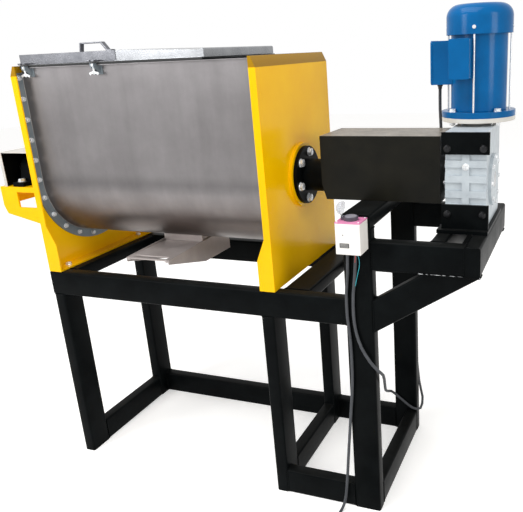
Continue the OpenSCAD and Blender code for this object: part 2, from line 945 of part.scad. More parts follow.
// Room inside the case for the wheel and the worm
module case_room() {
    bar_x(2 * (wheel_r + cavity_gap), gear_mid - wheel_w / 2 - cavity_gap, wheel_w + 2 * cavity_gap);
    bar_x(wheel_hub_d + 2 * cavity_gap, gear_mid - case_w / 2 - over, case_w + 2 * over);
    translate([gear_mid, gear_centres, shaft_z - worm_low - cavity_gap])
        cylinder(d = worm_d + 2 * cavity_gap, h = gear_top);
}

// Round cover on one side of the case, facing +X from the plane x = 0
module case_cover() {
    difference() {
        bar_x(cover_d, 0, cover_t);
        bar_x(shaft_d + 2 * bore_gap, -over, cover_t + 2 * over);
        for (s = shaft_spots(cover_bolts, cover_pcd))
            bar_x(cover_bolt_d + 2 * bolt_gap, -over, cover_t + 2 * over, s[0], s[1]);
    }
}

module gearbox_housing() {
    color(cast_c) {
        difference() {
            union() {
                along_x(gear_mid - case_w / 2, case_w) case_outline();
                case_bands();
            }
            case_room();
            for (s = plug_spots()) facing_front(s[0], -gear_front, s[1])
                bolt_hole(plug_d - 2 * bolt_gap, plug_t);
            for (s = plate_spots()) facing_front(s[0], -gear_front, s[1])
                bolt_hole(gear_bolt_d, plate_bolt_in + gear_bolt_d);
        }
        translate([gear_mid + case_w / 2, 0, 0]) case_cover();
        translate([gear_mid - case_w / 2, 0, 0]) mirror([1, 0, 0]) case_cover();
    }
}

// X and Z of the bolts of the two front plates
function plate_spots() = [
    for (s = [-1, 1], z = [gear_h * top_bolt_share, gear_h * low_bolt_share])
        [gear_mid + s * gear_w / 2 * plate_bolt_x_share, gear_z + z]
];
function plug_spots() = [[gear_mid, gear_z + gear_h * plug_share]];

module gearbox_brackets() {
    front = -gear_front - front_plate_t;
    low_h = gear_h * low_plate_h_share;
    top_h = gear_h * top_plate_h_share;
    base_x = gear_mid - gear_w / 2 - base_margin;
    base_d = gear_front + base_front + gear_centres + gear_back + base_rear;
    color(black_c) difference() {
        union() {
            translate([base_x, -gear_front - base_front, platform_top])
                cube([platform_end - base_x, base_d, base_t]);
            translate([gear_mid - gear_w / 2, front, platform_top + base_t - over])
                cube([gear_w, front_plate_t, low_h + over]);
            translate([gear_mid - gear_w / 2, front, gear_top - top_h])
                cube([gear_w, front_plate_t, top_h]);
        }
        for (s = plate_spots()) facing_front(s[0], front, s[1]) bolt_hole(gear_bolt_d, front_plate_t);
    }
}

module gearbox_bolts() {
    front = -gear_front - front_plate_t;
    stud_at = stud_share * case_w / 2;
    color(zinc_c) {
        for (s = plate_spots()) facing_front(s[0], front, s[1])
            bolt(gear_bolt_d, front_plate_t + plate_bolt_in);
        for (s = plug_spots()) facing_front(s[0], -gear_front, s[1]) {
            cylinder(d = plug_d, h = plug_t);
            translate([0, 0, -plug_t]) cylinder(d = plug_d - 2 * bolt_gap, h = plug_t);
        }
        for (side = [-1, 1], s = shaft_spots(cover_bolts, cover_pcd))
            facing_x(side, gear_mid + side * gear_w / 2, s[0], s[1]) bolt(cover_bolt_d, cover_t);
        for (x = [-1, 1], y = [-1, 1])
            translate([motor_x + x * stud_at, motor_y + y * stud_at * stud_share, gear_top])
                cylinder(d = stud_d, h = adapter_gap);
    }
}

module motor_adapter() {
    color(grey_c) translate([motor_x, motor_y, gear_top]) {
        ring(adapter_neck_d, adapter_bore_d, adapter_gap);
        translate([0, 0, adapter_gap]) motor_holes(adapter_t)
            ring(motor_flange_d, adapter_bore_d, adapter_t);
    }
}

// A disc about the motor's axis with holes for the flange bolts
module motor_holes(h) {
    difference() {
        children();
        for (a = [45:90:315]) rotate([0, 0, a]) translate([motor_pcd / 2, 0, h])
            bolt_hole(motor_bolt_d, h);
    }
}

module motor_flange() {
    color(blue_c) translate([motor_x, motor_y, motor_z - flange_h]) difference() {
        motor_holes(flange_h) ring(motor_flange_d, rotor_d + 2 * bore_gap, flange_h);
        for (a = [0:90:270]) rotate([0, 0, a]) translate([rod_r, 0, flange_h])
            bolt_hole(rod_d, flange_h / 2);
    }
}

module motor_frame() {
    color(blue_c) translate([motor_x, motor_y, motor_z]) {
        difference() {
            cylinder(d = motor_d, h = motor_h);
            translate([0, 0, -over]) cylinder(d = motor_d - 2 * frame_t, h = motor_h - shield_t + over);
            translate([0, 0, motor_h - shield_t - over])
                cylinder(d = rotor_d + 2 * bore_gap, h = shield_t + 2 * over);
        }
    }
}

module stator() {
    outer = motor_d - 2 * frame_t - 2 * bore_gap;
    color(grey_c) translate([motor_x, motor_y, motor_z + core_z])
        ring(outer, outer - 2 * stator_t, core_l);
}

// Half section of the cowl: a skirt, a round shoulder and a flat crown, drawn in by the given wall
module cowl_section(wall) {
    r = cowl_d / 2 - wall;
    h = cowl_h - wall;
    bend = cowl_r - wall;
    square([r - bend, h]);
    square([r, h - bend]);
    translate([r - bend, h - bend]) intersection() {
        circle(r = bend);
        square([bend, bend]);
    }
}

module fan_cowl() {
    color(blue_c) translate([motor_x, motor_y, motor_z + motor_h - cowl_lap]) difference() {
        rotate_extrude() cowl_section(0);
        translate([0, 0, -over]) cylinder(r = cowl_d / 2 - cowl_t, h = cowl_h - cowl_r + over);
        rotate_extrude() cowl_section(cowl_t);
        for (a = [0:90:270]) rotate([0, 0, a]) translate([cowl_d / 2, 0, rod_lap - screw_d])
            rotate([0, 90, 0]) bolt_hole(rod_d, cowl_t);
    }
}

module terminal_box() {
    depth = term_out + motor_d / 2;
    color(blue_c) translate([motor_x, motor_y, motor_z + motor_h * term_z_share]) difference() {
        translate([-depth / 2, 0, 0]) linear_extrude(term_h) rounded(depth, term_w, term_r);
        translate([0, 0, -over]) cylinder(d = motor_d + 2 * run_gap, h = term_h + 2 * over);
        translate([-rod_r, 0, -over]) cylinder(d = 2 * rod_d, h = term_h + 2 * over);
    }
}

module capacitor_box() {
    depth = cap_out + motor_d / 2;
    color(blue_c) translate([motor_x - cap_off, motor_y, motor_z + motor_h * cap_z_share]) difference() {
        translate([0, -depth / 2, 0]) linear_extrude(cap_h) rounded(cap_w, depth, cap_r);
        translate([cap_off, 0, -over]) cylinder(d = motor_d + 2 * run_gap, h = cap_h + 2 * over);
    }
}

module tie_rods() {
    len = motor_h - cowl_lap + rod_lap + flange_h / 2;
    color(zinc_c) translate([motor_x, motor_y, motor_z]) {
        for (a = [0:90:270]) rotate([0, 0, a]) {
            translate([rod_r, 0, -flange_h / 2]) cylinder(d = rod_d, h = len);
            translate([cowl_d / 2, 0, len - flange_h / 2 - screw_d]) rotate([0, 90, 0]) {
                cylinder(d = screw_d, h = cowl_t);
                translate([0, 0, -cowl_t - rod_d / 2]) cylinder(d = rod_d, h = cowl_t + rod_d / 2);
            }
        }
        for (a = [45:90:315]) rotate([0, 0, a]) translate([motor_pcd / 2, 0, 0])
            bolt(motor_bolt_d, flange_h + adapter_t, motor_bolt_d);
    }
}

module discharge_neck() {
    inner = [chute_l - 2 * chute_t, chute_d - 2 * chute_t, trough_out];
    color(steel_c) difference() {
        translate([chute_mid - chute_l / 2, -chute_d / 2, gate_top + run_gap])
            cube([chute_l, chute_d, trough_out / 2]);
        translate([chute_mid - inner[0] / 2, -inner[1] / 2, gate_low]) cube(inner);
        bar_x(2 * trough_out, chute_mid - chute_l, 2 * chute_l, $fn = 180);
    }
}

// Side plate of the spout and of the gate's guide, drawn in Y and Z
module guide_outline() {
    front = -chute_d / 2 - gate_reach;
    low = rail_top + spout_rise;
    polygon([
        [chute_d / 2, low], [-chute_d / 2, low], [front, gate_low - guide_nose], [front, gate_top],
        [-chute_d / 2, guide_top], [chute_d / 2, guide_top]
    ]);
}

module discharge_spout() {
    inner = chute_l / 2 + slide_gap;
    low = rail_top + spout_rise;
    ledge_z = gate_low - run_gap - chute_t;
    color(steel_c) translate([chute_mid, 0, 0]) {
        for (x = [-inner - chute_t, inner]) along_x(x, chute_t) guide_outline();
        for (y = [-chute_d / 2, chute_d / 2 - chute_t]) translate([-inner, y, low])
            cube([2 * inner, chute_t, gate_low - run_gap - low]);
        for (x = [-inner, inner - ledge_w]) translate([x, -chute_d / 2 - gate_reach, ledge_z])
            cube([ledge_w, gate_reach + chute_t, chute_t]);
    }
}

module gate_plate() {
    front = -chute_d / 2 - gate_reach;
    color(steel_c) translate([chute_mid, front, gate_low]) difference() {
        translate([-chute_l / 2, 0, 0]) cube([chute_l, -gate_rear - front, gate_t]);
        translate([0, slot_in + slot_w / 2, -over]) linear_extrude(gate_t + 2 * over)
            rounded(slot_l, slot_w, slot_r);
    }
}

// A sheet pan turned upside down: a sloping top and four skirts, open below, standing on z = 0
module pan(len, h_left, h_right) {
    t = lid_t;
    difference() {
        along_y(-trough_out, 2 * trough_out) polygon([[0, 0], [len, 0], [len, h_right], [0, h_left]]);
        along_y(-trough_out + t, 2 * trough_out - 2 * t) polygon([
            [t, -over], [len - t, -over], [len - t, h_right - t], [t, h_left - t]
        ]);
    }
}

// X of the two hinges of a lid
function lid_spots(x, len) = [x + hinge_in_share * len, x + (1 - hinge_in_share) * len];

// Barrel of a hinge and the tab that joins it to the back skirt of its lid
module lid_barrel(x) {
    difference() {
        union() {
            bar_x(barrel_d, x - barrel_l / 2, barrel_l, hinge_y, hinge_z);
            translate([x - barrel_l / 2, trough_out - lid_t, hinge_z - tab_t / 2])
                cube([barrel_l, hinge_y - trough_out + lid_t, tab_t]);
        }
        bar_x(pin_d + 2 * bore_gap, x - barrel_l, 2 * barrel_l, hinge_y, hinge_z);
    }
}

module lid() {
    color(steel_c) {
        translate([lid_x, 0, lid_z]) {
            pan(lid_len, lid_h, lid_h);
            translate([0, -trough_out - rim_w, 0]) cube([lid_len, rim_w + lid_t, lid_t]);
        }
        for (x = lid_spots(lid_x, lid_len)) lid_barrel(x);
    }
}

module feed_cover() {
    color(steel_c) {
        translate([cover_x, 0, lid_z]) {
            pan(cover_len, cover_h, cover_low_h);
            translate([0, -trough_out - rim_w, 0]) cube([cover_len, rim_w + lid_t, lid_t]);
            bar_y(curl_d, -trough_out, 2 * trough_out, cover_len - curl_d / 2, cover_low_h);
        }
        for (x = lid_spots(cover_x, cover_len)) lid_barrel(x);
    }
}

// Bent handle of flat bar, drawn in X and Z above the lid
module handle_outline() {
    lean = handle_lean_share * handle_len;
    t = handle_t;
    polygon([
        [0, 0], [t, handle_h], [handle_len - t, handle_h],
        [handle_len + lean, t], [handle_len + 2 * lean, t],
        [handle_len + 2 * lean, 0], [handle_len + lean - t, 0], [handle_len - 2 * t, handle_h - t],
        [2 * t, handle_h - t], [t, t], [t, 0]
    ]);
}

// Slotted lug on the lid's brim that a swing bolt's stem stands up in
module swing_lug(x) {
    slot = swing_stem_d / 2 + slot_gap;
    front = swing_y - lug_out;
    translate([x, 0, lid_z + lid_t]) difference() {
        translate([-lug_w / 2, front, 0]) cube([lug_w, -trough_out - run_gap - front, lug_t]);
        translate([-slot, front - over, -over]) cube([2 * slot, lug_out + over, lug_t + 2 * over]);
        translate([0, swing_y, -over]) cylinder(r = slot, h = lug_t + 2 * over);
    }
}

module lid_hardware() {
    color(steel_c) {
        translate([lid_x + handle_x_share * (lid_len - handle_len), 0, lid_z + lid_h])
            along_y(-handle_y_share * trough_out - handle_w / 2, handle_w) handle_outline();
        for (x = swing_spots()) swing_lug(x);
    }
}

// Two ears, a pin and a back plate that carry one lid barrel
module hinge_bracket(x) {
    back = trough_out + rim_w;
    gap = barrel_l / 2 + run_gap;
    for (side = [-gap - ear_t, gap]) along_x(x + side, ear_t) {
        translate([hinge_y, hinge_z]) circle(d = barrel_d);
        translate([back, rim_z - bracket_h])
            square([hinge_y + barrel_d / 2 - back, bracket_h + hinge_z - rim_z]);
    }
    bar_x(pin_d, x - gap - ear_t, 2 * (gap + ear_t), hinge_y, hinge_z);
    translate([x - gap - ear_t, back, rim_z - bracket_h]) cube([2 * (gap + ear_t), ear_t / 2, bracket_h]);
}

// Ears and pin that carry one swing bolt in front of the rim
module swing_base(x) {
    wall = -trough_out;
    front = swing_y - eye_d / 2;
    under = rim_z - trough_t - run_gap;
    low = under - swing_base_h;
    edge = wall - rim_w - run_gap;
    gap = eye_w / 2 + run_gap;
    translate([x - swing_base_w / 2, wall - swing_base_t, low])
        cube([swing_base_w, swing_base_t, swing_base_h]);
    for (side = [-gap - swing_ear_t, gap]) along_x(x + side, swing_ear_t) polygon([
        [wall, low], [wall, under], [edge, under], [edge, swing_z + eye_d / 2],
        [front, swing_z + eye_d / 2], [front, swing_z - eye_d / 2]
    ]);
    bar_x(swing_pin_d, x - gap - swing_ear_t, 2 * (gap + swing_ear_t), swing_y, swing_z);
}
function swing_spots() = [for (s = swing_share) lid_x + s * lid_len];

module lid_fittings() {
    color(steel_c) {
        for (x = concat(lid_spots(lid_x, lid_len), lid_spots(cover_x, cover_len))) hinge_bracket(x);
        for (x = swing_spots()) swing_base(x);
    }
}

// Half of a wing nut's wing, drawn in X and Z from the nut's underside down
module wing_outline() {
    polygon([
        [0, 0], [wing_nut_d / 2, 0], [wing_w / 2, wing_nut_h - wing_h],
        [wing_w / 2 - wing_t, -wing_h], [wing_nut_d / 2, -wing_nut_h], [0, -wing_nut_h]
    ]);
}

// Bolt with an eye and a wing nut, hanging from its pin
module swing_bolt(x) {
    nut_z = swing_z - nut_reach;
    color(zinc_c) difference() {
        union() {
            bar_x(eye_d, x - eye_w / 2, eye_w, swing_y, swing_z);
            translate([x, swing_y, nut_z - wing_nut_h - wing_t])
                cylinder(d = swing_stem_d, h = nut_reach + wing_nut_h + wing_t);
            translate([x, swing_y, nut_z - wing_nut_h]) cylinder(d = wing_nut_d, h = wing_nut_h);
            for (side = [0, 1]) translate([x, swing_y, nut_z]) mirror([side, 0, 0])
                along_y(-wing_t / 2, wing_t) wing_outline();
        }
        bar_x(swing_pin_d + 2 * bore_gap, x - eye_w, 2 * eye_w, swing_y, swing_z);
    }
}

module swing_bolt_left() {
    swing_bolt(swing_spots()[0]);
}

module swing_bolt_right() {
    swing_bolt(swing_spots()[1]);
}

module rim_seals() {
    from = left_x + lip_in + lip_w + run_gap;
    color("#202122") both_sides() translate([from, -trough_out - rim_w, rim_z])
        cube([deck_x - cover_gap - from, rim_w, seal_h]);
}

module deck_plate() {
    color(black_c) translate([deck_x, -trough_out - rim_w, rim_z])
        cube([right_x - lip_in - lip_w - run_gap - deck_x, 2 * (trough_out + rim_w), deck_t]);
}

module control_box() {
    color(white_c) translate([box_x, box_y, box_top - box_h]) difference() {
        cube([box_w, box_d, box_h - box_lid_t]);
        translate([box_t, box_t, box_t]) cube([box_w - 2 * box_t, box_d - 2 * box_t, box_h]);
    }
}

// Centre of the push button on top of the control box
button_at = [box_x + box_w / 2, box_y + box_d / 2, box_top];

// Collar about the button, with two lugs that hold the pin of the button's guard
module button_collar() {
    lug_y = collar_d / 6;
    ring(collar_d, button_d + 2 * bore_gap, collar_h);
    difference() {
        for (side = [-1, 1]) translate([-guard_pin_x - guard_pin_d, side * lug_y - guard_pin_d / 2, 0])
            cube([guard_pin_x - button_d / 2 + guard_pin_d / 2, guard_pin_d, guard_pin_z + guard_pin_d]);
        cylinder(d = button_d + 2 * guard_pin_d, h = collar_h + over);
    }
    bar_y(guard_pin_d, -lug_y, 2 * lug_y, -guard_pin_x, guard_pin_z);
}

module control_box_top() {
    color("#eba6c4") difference() {
        translate(button_at + [-box_w / 2, -box_d / 2, -box_lid_t]) cube([box_w, box_d, box_lid_t]);
        translate(button_at - [0, 0, box_lid_t + over])
            cylinder(d = stem_d + 2 * bore_gap, h = box_lid_t + 2 * over);
    }
    color(grey_c) translate(button_at) button_collar();
}

module push_button() {
    color(grey_c) translate(button_at) {
        translate([0, 0, button_travel + run_gap]) cylinder(d = button_d, h = button_h);
        translate([0, 0, -2 * button_travel - box_lid_t])
            cylinder(d = stem_d, h = 3 * button_travel + box_lid_t + run_gap + over);
    }
}

// Clear dome over the button, drawn open about its pin
module button_guard() {
    r = cap_dome_r;
    in_r = r - cap_dome_t;
    tab_l = guard_pin_x - r + cap_dome_t / 2;
    riser = guard_pin_x - collar_d / 2 - run_gap;
    low = collar_h + run_gap - guard_pin_z;
    color("#dfe6e8", 0.5) translate(button_at + [-guard_pin_x, 0, guard_pin_z])
        rotate([0, -guard_open, 0]) difference() {
            union() {
                translate([guard_pin_x, 0, low]) intersection() {
                    sphere(r = r);
                    translate([-r, -r, 0]) cube([2 * r, 2 * r, r]);
                }
                bar_y(2 * guard_pin_d, -knuckle_l / 2, knuckle_l);
                translate([0, -knuckle_l / 2, 0]) cube([riser, knuckle_l, low + cap_dome_t]);
                translate([0, -knuckle_l / 2, low]) cube([tab_l, knuckle_l, cap_dome_t]);
            }
            translate([guard_pin_x, 0, low]) sphere(r = in_r);
            bar_y(guard_pin_d + 2 * bore_gap, -guard_pin_x, 2 * guard_pin_x);
        }
}

// One gland that hangs from a floor at z = 0
module gland() {
    translate([0, 0, -gland_h]) cylinder(d = gland_neck_share * gland_d, h = gland_h);
    translate([0, 0, -gland_h / 2]) cylinder(d = gland_d, h = gland_h / 2, $fn = 6);
}

module cable_glands() {
    color("#2a2c2e") {
        for (s = gland_x_share)
            translate([box_x + s * box_w, -half_d - gland_y, box_top - box_h]) gland();
        translate([
            motor_x - motor_d / 2 - term_gland_share * term_out, motor_y, motor_z + motor_h * term_z_share
        ]) gland();
    }
}

// Points of a smooth curve through a route, with one more point between each two
function smooth(p) = [
    for (i = [0:2 * (len(p) - 1)]) let (k = floor(i / 2), last = len(p) - 1)
        i % 2 == 0 ? p[k] : (9 * (p[k] + p[k + 1]) - p[max(k - 1, 0)] - p[min(k + 2, last)]) / 16
];
function unit(v) = v / norm(v);
function heading(p, i) = unit(p[min(i + 1, len(p) - 1)] - p[max(i - 1, 0)]);

// Side directions carried along a path with no twist
side_hint = [1, 0, 0.2];
function sides_along(p) = [
    for (i = 0, n = unit(cross(heading(p, 0), side_hint)); i < len(p);
         i = i + 1, n = i < len(p) ? unit(n - (n * heading(p, i)) * heading(p, i)) : n) n
];

// Closed solid through rings of equal point counts
module skin(rings) {
    n = len(rings[0]);
    m = len(rings);
    polyhedron(
        [for (ring = rings, point = ring) point],
        concat(
            [[for (j = [0:n - 1]) j]],
            [for (i = [0:m - 2], j = [0:n - 1], half = [0, 1])
                let (a = i * n + j, b = i * n + (j + 1) % n)
                half == 0 ? [a, a + n, b] : [b, a + n, b + n]],
            [[for (j = [n - 1:-1:0]) (m - 1) * n + j]]
        )
    );
}

// Round cord along a path
module cord(p, d, sides) {
    n = sides_along(p);
    skin([
        for (i = [0:len(p) - 1]) let (b = cross(heading(p, i), n[i]))
            [for (j = [0:sides - 1]) let (a = 360 * j / sides)
                p[i] + d / 2 * (cos(a) * n[i] - sin(a) * b)]
    ]);
}

module supply_cord() {
    color("#5c5f62") cord(smooth(supply_route), cord_d, cord_sides);
}

module motor_cord() {
    color("#5c5f62") cord(smooth(motor_route), cord_d, cord_sides);
}

// Centre line of the coil: in along the floor, up a layer, and out again
coil_pitch = cord_d + coil_gap;
coil_end = 720 * coil_turns + 180;
function coil_point(a) = let (
    back = abs(a - coil_end / 2), r = coil_r - coil_pitch * (coil_end / 2 - back) / 360,
    lift = min(max((a - 360 * coil_turns) / 180, 0), 1)
) supply_end + [coil_r - r * cos(a), -r * sin(a), lift * coil_pitch];
coil_steps = coil_end * coil_rings / 360;
coil_line = [for (i = [0:coil_steps]) coil_point(i * coil_end / coil_steps)];
coil_last = coil_point(coil_end);
coil_path = concat(coil_line, [
    [coil_last[0], coil_last[1] + coil_tail, plug_z],
    [coil_last[0], coil_last[1] + coil_tail + 2 * cord_d, plug_z]
]);
plug_at = coil_path[len(coil_path) - 1];

// Least distance between turns of the coil, past the thickness of the cord
coil_clear = min([
    for (i = [0:len(coil_line) - 1], j = [0:len(coil_line) - 1])
        if (j - i > coil_rings / 2) norm(coil_line[i] - coil_line[j]) - cord_d
]);
echo(coil_clear = coil_clear);

module cord_coil() {
    color("#5c5f62") cord(coil_path, cord_d, coil_sides);
}

// Round plug on the end of the supply cord, its pins along +Y
module supply_plug() {
    neck = grip_d / 2;
    color("#2a2c2e") translate(plug_at) rotate([-90, 0, 0]) {
        cylinder(d1 = neck + cord_d / 2, d2 = grip_d, h = grip_l);
        translate([0, 0, grip_l]) cylinder(d = grip_d, h = grip_l);
        for (a = [0:120:240]) rotate([0, 0, a]) translate([grip_d / 4, 0, 2 * grip_l])
            cylinder(d = pin_w, h = pin_l);
    }
}

module main_shaft() {
    from = bearing_mid - block_w / 2 - shaft_stub;
    color(zinc_c) difference() {
        bar_x(shaft_d, from, coupling_mid - from);
        for (i = [0:arm_count - 1]) arm_at(i) translate([0, 0, -shaft_d])
            cylinder(d = arm_d + 2 * bore_gap, h = 2 * shaft_d);
    }
}

module drive_shaft() {
    from = coupling_mid + run_gap;
    color(zinc_c) bar_x(shaft_d, from, gear_mid + gear_w / 2 - from);
}

module shaft_coupling() {
    color(black_c) difference() {
        bar_x(coupling_d, coupling_x, coupling_l);
        bar_x(shaft_d + 2 * bore_gap, coupling_x - over, coupling_l + 2 * over);
        for (side = [-1, 1]) translate([coupling_mid + side * coupling_l / 4, 0, shaft_z])
            cylinder(d = coupling_bolt_d, h = coupling_d);
    }
}

// Where one arm crosses the shaft, with its own length along Z
module arm_at(i) {
    translate([trough_mid + (i - (arm_count - 1) / 2) * arm_pitch, 0, shaft_z])
        rotate([90 * (i % 2), 0, 0]) children();
}

module ribbon_arms() {
    color(steel_c) for (i = [0:arm_count - 1]) arm_at(i) translate([0, 0, -arm_reach])
        cylinder(d = arm_d, h = 2 * arm_reach);
}

// Half the angle that a ribbon of the given thickness takes up at a radius
function ribbon_half(r) = asin(ribbon_t / 2 / r * sqrt(ribbon_turn ^ 2 + (2 * PI * r) ^ 2) / ribbon_turn);

// Section of a ribbon at u quarter turns from the middle of the trough, whose two hands meet there
function ribbon_ring(u, r_in, r_out, start, hand) = [
    for (c = [[r_in, -1], [r_in, 1], [r_out, 1], [r_out, -1]])
        let (a = start + hand * 90 * abs(u) + c[1] * ribbon_half(c[0]))
            [trough_mid + u * arm_pitch, c[0] * sin(a), shaft_z + c[0] * cos(a)]
];

// Ribbon from u = a to u = b, in steps that end on the middle
module ribbon(a, b, r_in, r_out, start, hand) {
    steps = ceil((b - a) * quarter_rings);
    skin([for (i = [0:steps]) ribbon_ring(a + (b - a) * i / steps, r_in, r_out, start, hand)]);
}

module outer_ribbons() {
    color(steel_c) for (start = [0, 180]) ribbon(-2, 2, outer_r - outer_w, outer_r, start, 1);
}

module inner_ribbons() {
    clear = (arm_d / 2 - run_gap) / arm_pitch;
    color(steel_c) for (start = [0, 180], k = [-2:1])
        ribbon(k + clear, k + 1 - clear, inner_r - inner_w, inner_r, start, -1);
}

module worm_wheel() {
    tooth = 2 * PI * wheel_r / wheel_teeth * tooth_w_share;
    color("#b08d57") difference() {
        union() {
            bar_x(2 * wheel_r, gear_mid - wheel_w / 2, wheel_w);
            bar_x(wheel_hub_d, gear_mid - wheel_hub_l / 2, wheel_hub_l);
        }
        bar_x(shaft_d + 2 * bore_gap, gear_mid - wheel_hub_l, 2 * wheel_hub_l);
        for (i = [0:wheel_teeth - 1]) translate([gear_mid - wheel_w, 0, shaft_z])
            rotate([360 / wheel_teeth * (i + 1 / 2), 0, 0]) translate([0, wheel_r - tooth_h, -tooth / 2])
                cube([2 * wheel_w, tooth_h + over, tooth]);
    }
}

module rotor() {
    top = motor_z + motor_h + fan_gap + fan_h / 2;
    low = shaft_z - worm_low;
    color(zinc_c) translate([motor_x, motor_y, 0]) {
        translate([0, 0, low]) cylinder(d = worm_d, h = 2 * worm_low);
        translate([0, 0, low]) cylinder(d = rotor_d, h = top - low);
        translate([0, 0, motor_z + core_z]) cylinder(d = core_d, h = core_l);
    }
}

module fan() {
    color(black_c) translate([motor_x, motor_y, motor_z + motor_h + fan_gap]) difference() {
        union() {
            cylinder(d = fan_hub_d, h = fan_h);
            cylinder(d = fan_d, h = fan_blade_t);
            for (i = [0:fan_blades - 1]) rotate([0, 0, 360 / fan_blades * i])
                translate([fan_hub_d / 2 - over, -fan_blade_t / 2, over])
                    cube([(fan_d - fan_hub_d) / 2 - over, fan_blade_t, fan_h - 2 * over]);
        }
        translate([0, 0, -over]) cylinder(d = rotor_d + 2 * bore_gap, h = fan_h + 2 * over);
    }
}

trough_legs();
drive_legs();
long_rails();
cross_rails();
floor_rails();
platform_beams();
platform_braces();
saddle_beam();
left_end_plate();
right_end_plate();
trough_shell();
trough_flanges();
flange_bolts();
foot_bolts();
bearing_bracket();
pillow_block();
bearing_hood();
seal_housings();
seal_bolts();
drive_guard();
gearbox_housing();
gearbox_brackets();
gearbox_bolts();
motor_adapter();
motor_flange();
motor_frame();
stator();
fan_cowl();
terminal_box();
capacitor_box();
tie_rods();
discharge_neck();
discharge_spout();
control_box();
control_box_top();
cable_glands();
lid_fittings();
rim_seals();
deck_plate();
supply_cord();
cord_coil();
supply_plug();
motor_cord();
main_shaft();
drive_shaft();
shaft_coupling();
ribbon_arms();
outer_ribbons();
inner_ribbons();
worm_wheel();
rotor();
fan();
lid();
lid_hardware();
feed_cover();
swing_bolt_left();
swing_bolt_right();
gate_plate();
push_button();
button_guard();
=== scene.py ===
"""Looks of a ribbon blender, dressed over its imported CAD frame.

Lengths are in metres in the frame of the CAD model: +X runs along the shaft to the drive,
-Y faces the front and Z = 0 is the floor. Names that end in _mm are in millimetres.
"""

from __future__ import annotations

import logging
import math
from dataclasses import dataclass, field
from enum import Enum
from typing import Sequence

import bmesh
import bpy
import numpy as np
from mathutils import Matrix

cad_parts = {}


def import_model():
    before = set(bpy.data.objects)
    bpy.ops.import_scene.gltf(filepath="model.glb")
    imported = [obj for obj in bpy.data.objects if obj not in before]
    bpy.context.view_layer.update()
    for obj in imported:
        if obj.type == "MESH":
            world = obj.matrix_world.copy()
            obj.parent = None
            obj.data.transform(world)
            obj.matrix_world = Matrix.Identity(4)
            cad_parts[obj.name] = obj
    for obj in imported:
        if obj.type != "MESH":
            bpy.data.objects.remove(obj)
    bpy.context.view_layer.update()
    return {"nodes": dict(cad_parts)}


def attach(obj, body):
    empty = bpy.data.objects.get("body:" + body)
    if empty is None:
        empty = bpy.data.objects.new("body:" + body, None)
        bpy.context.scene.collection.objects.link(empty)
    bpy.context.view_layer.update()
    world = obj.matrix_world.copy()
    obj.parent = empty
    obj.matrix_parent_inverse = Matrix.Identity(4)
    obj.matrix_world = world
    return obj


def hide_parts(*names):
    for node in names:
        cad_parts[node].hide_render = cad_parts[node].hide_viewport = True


LOG = logging.getLogger("ribbon_blender")
MM = 0.001
FULL_TURN = 2 * math.pi

Tree = bpy.types.NodeTree
Node = bpy.types.Node
Socket = bpy.types.NodeSocket
Vec = tuple[float, float, float]
Box = tuple[Vec, Vec]


def linear(code: str) -> tuple[float, float, float, float]:
    """Turn an sRGB hex colour into linear light.

    Args:
        code: Colour such as "#1b1e1f".

    Returns:
        Linear red, green and blue, and full opacity.
    """
    parts = [int(code[i:i + 2], 16) / 255 for i in (1, 3, 5)]
    red, green, blue = [
        part / 12.92 if part <= 0.04045 else ((part + 0.055) / 1.055) ** 2.4 for part in parts
    ]
    return red, green, blue, 1.0


def add_node(tree: Tree, kind: str, inputs: dict | None = None, **settings) -> Node:
    """Add a shader node, set its properties and fill or link its inputs.

    Args:
        tree: Node tree that the node goes into.
        kind: Node type, without its ShaderNode prefix.
        inputs: Input name or number to a value, or to the output socket linked there.
        **settings: Properties of the node.

    Returns:
        The new node.
    """
    node = tree.nodes.new("ShaderNode" + kind)
    for name, value in settings.items():
        setattr(node, name, value)
    for name, value in (inputs or {}).items():
        if isinstance(value, Socket):
            tree.links.new(value, node.inputs[name])
        else:
            node.inputs[name].default_value = value
    return node


def noise(tree: Tree, place: Socket, size_mm: float, detail: float,
          roughness: float) -> Socket:
    """Add a fractal noise.

    Args:
        tree: Node tree that it goes into.
        place: Coordinates at which it is read.
        size_mm: Size of its broadest patches.
        detail: Number of finer layers.
        roughness: Strength of each layer against the one before it.

    Returns:
        Its value, about 0.5 on average.
    """
    return add_node(tree, "TexNoise", {
        "Vector": place, "Scale": 1 / (size_mm * MM), "Detail": detail, "Roughness": roughness,
    }).outputs["Fac"]


def ramp(tree: Tree, value: Socket, start: float, end: float,
         low: float = 0.0, high: float = 1.0, **settings) -> Socket:
    """Add a clamped ramp from low to high, while a value goes from start to end.

    Args:
        tree: Node tree that it goes into.
        value: Value that drives it.
        start: Value at which the ramp begins.
        end: Value at which it ends.
        low: Result at the start.
        high: Result at the end.
        **settings: Properties of the node.

    Returns:
        The ramp's result.
    """
    return add_node(tree, "MapRange", {
        "Value": value, "From Min": start, "From Max": end, "To Min": low, "To Max": high,
    }, **settings).outputs[0]


def blend(tree: Tree, share: Socket | float, first: object, second: object,
          **settings) -> Socket:
    """Add a mix of two colours.

    Args:
        tree: Node tree that it goes into.
        share: Share of the second colour.
        first: First colour, or the socket that gives it.
        second: Second colour, or the socket that gives it.
        **settings: Properties of the node.

    Returns:
        The mixed colour.
    """
    mix = add_node(tree, "Mix", {0: share, 6: first, 7: second}, data_type="RGBA", **settings)
    return mix.outputs[2]


def reckon(tree: Tree, operation: str, *values: object) -> Socket:
    """Add one step of arithmetic.

    Args:
        tree: Node tree that it goes into.
        operation: Name of the operation, such as ADD.
        *values: One or two numbers, or the sockets that give them.

    Returns:
        The result.
    """
    return add_node(tree, "Math", dict(enumerate(values)), operation=operation).outputs[0]


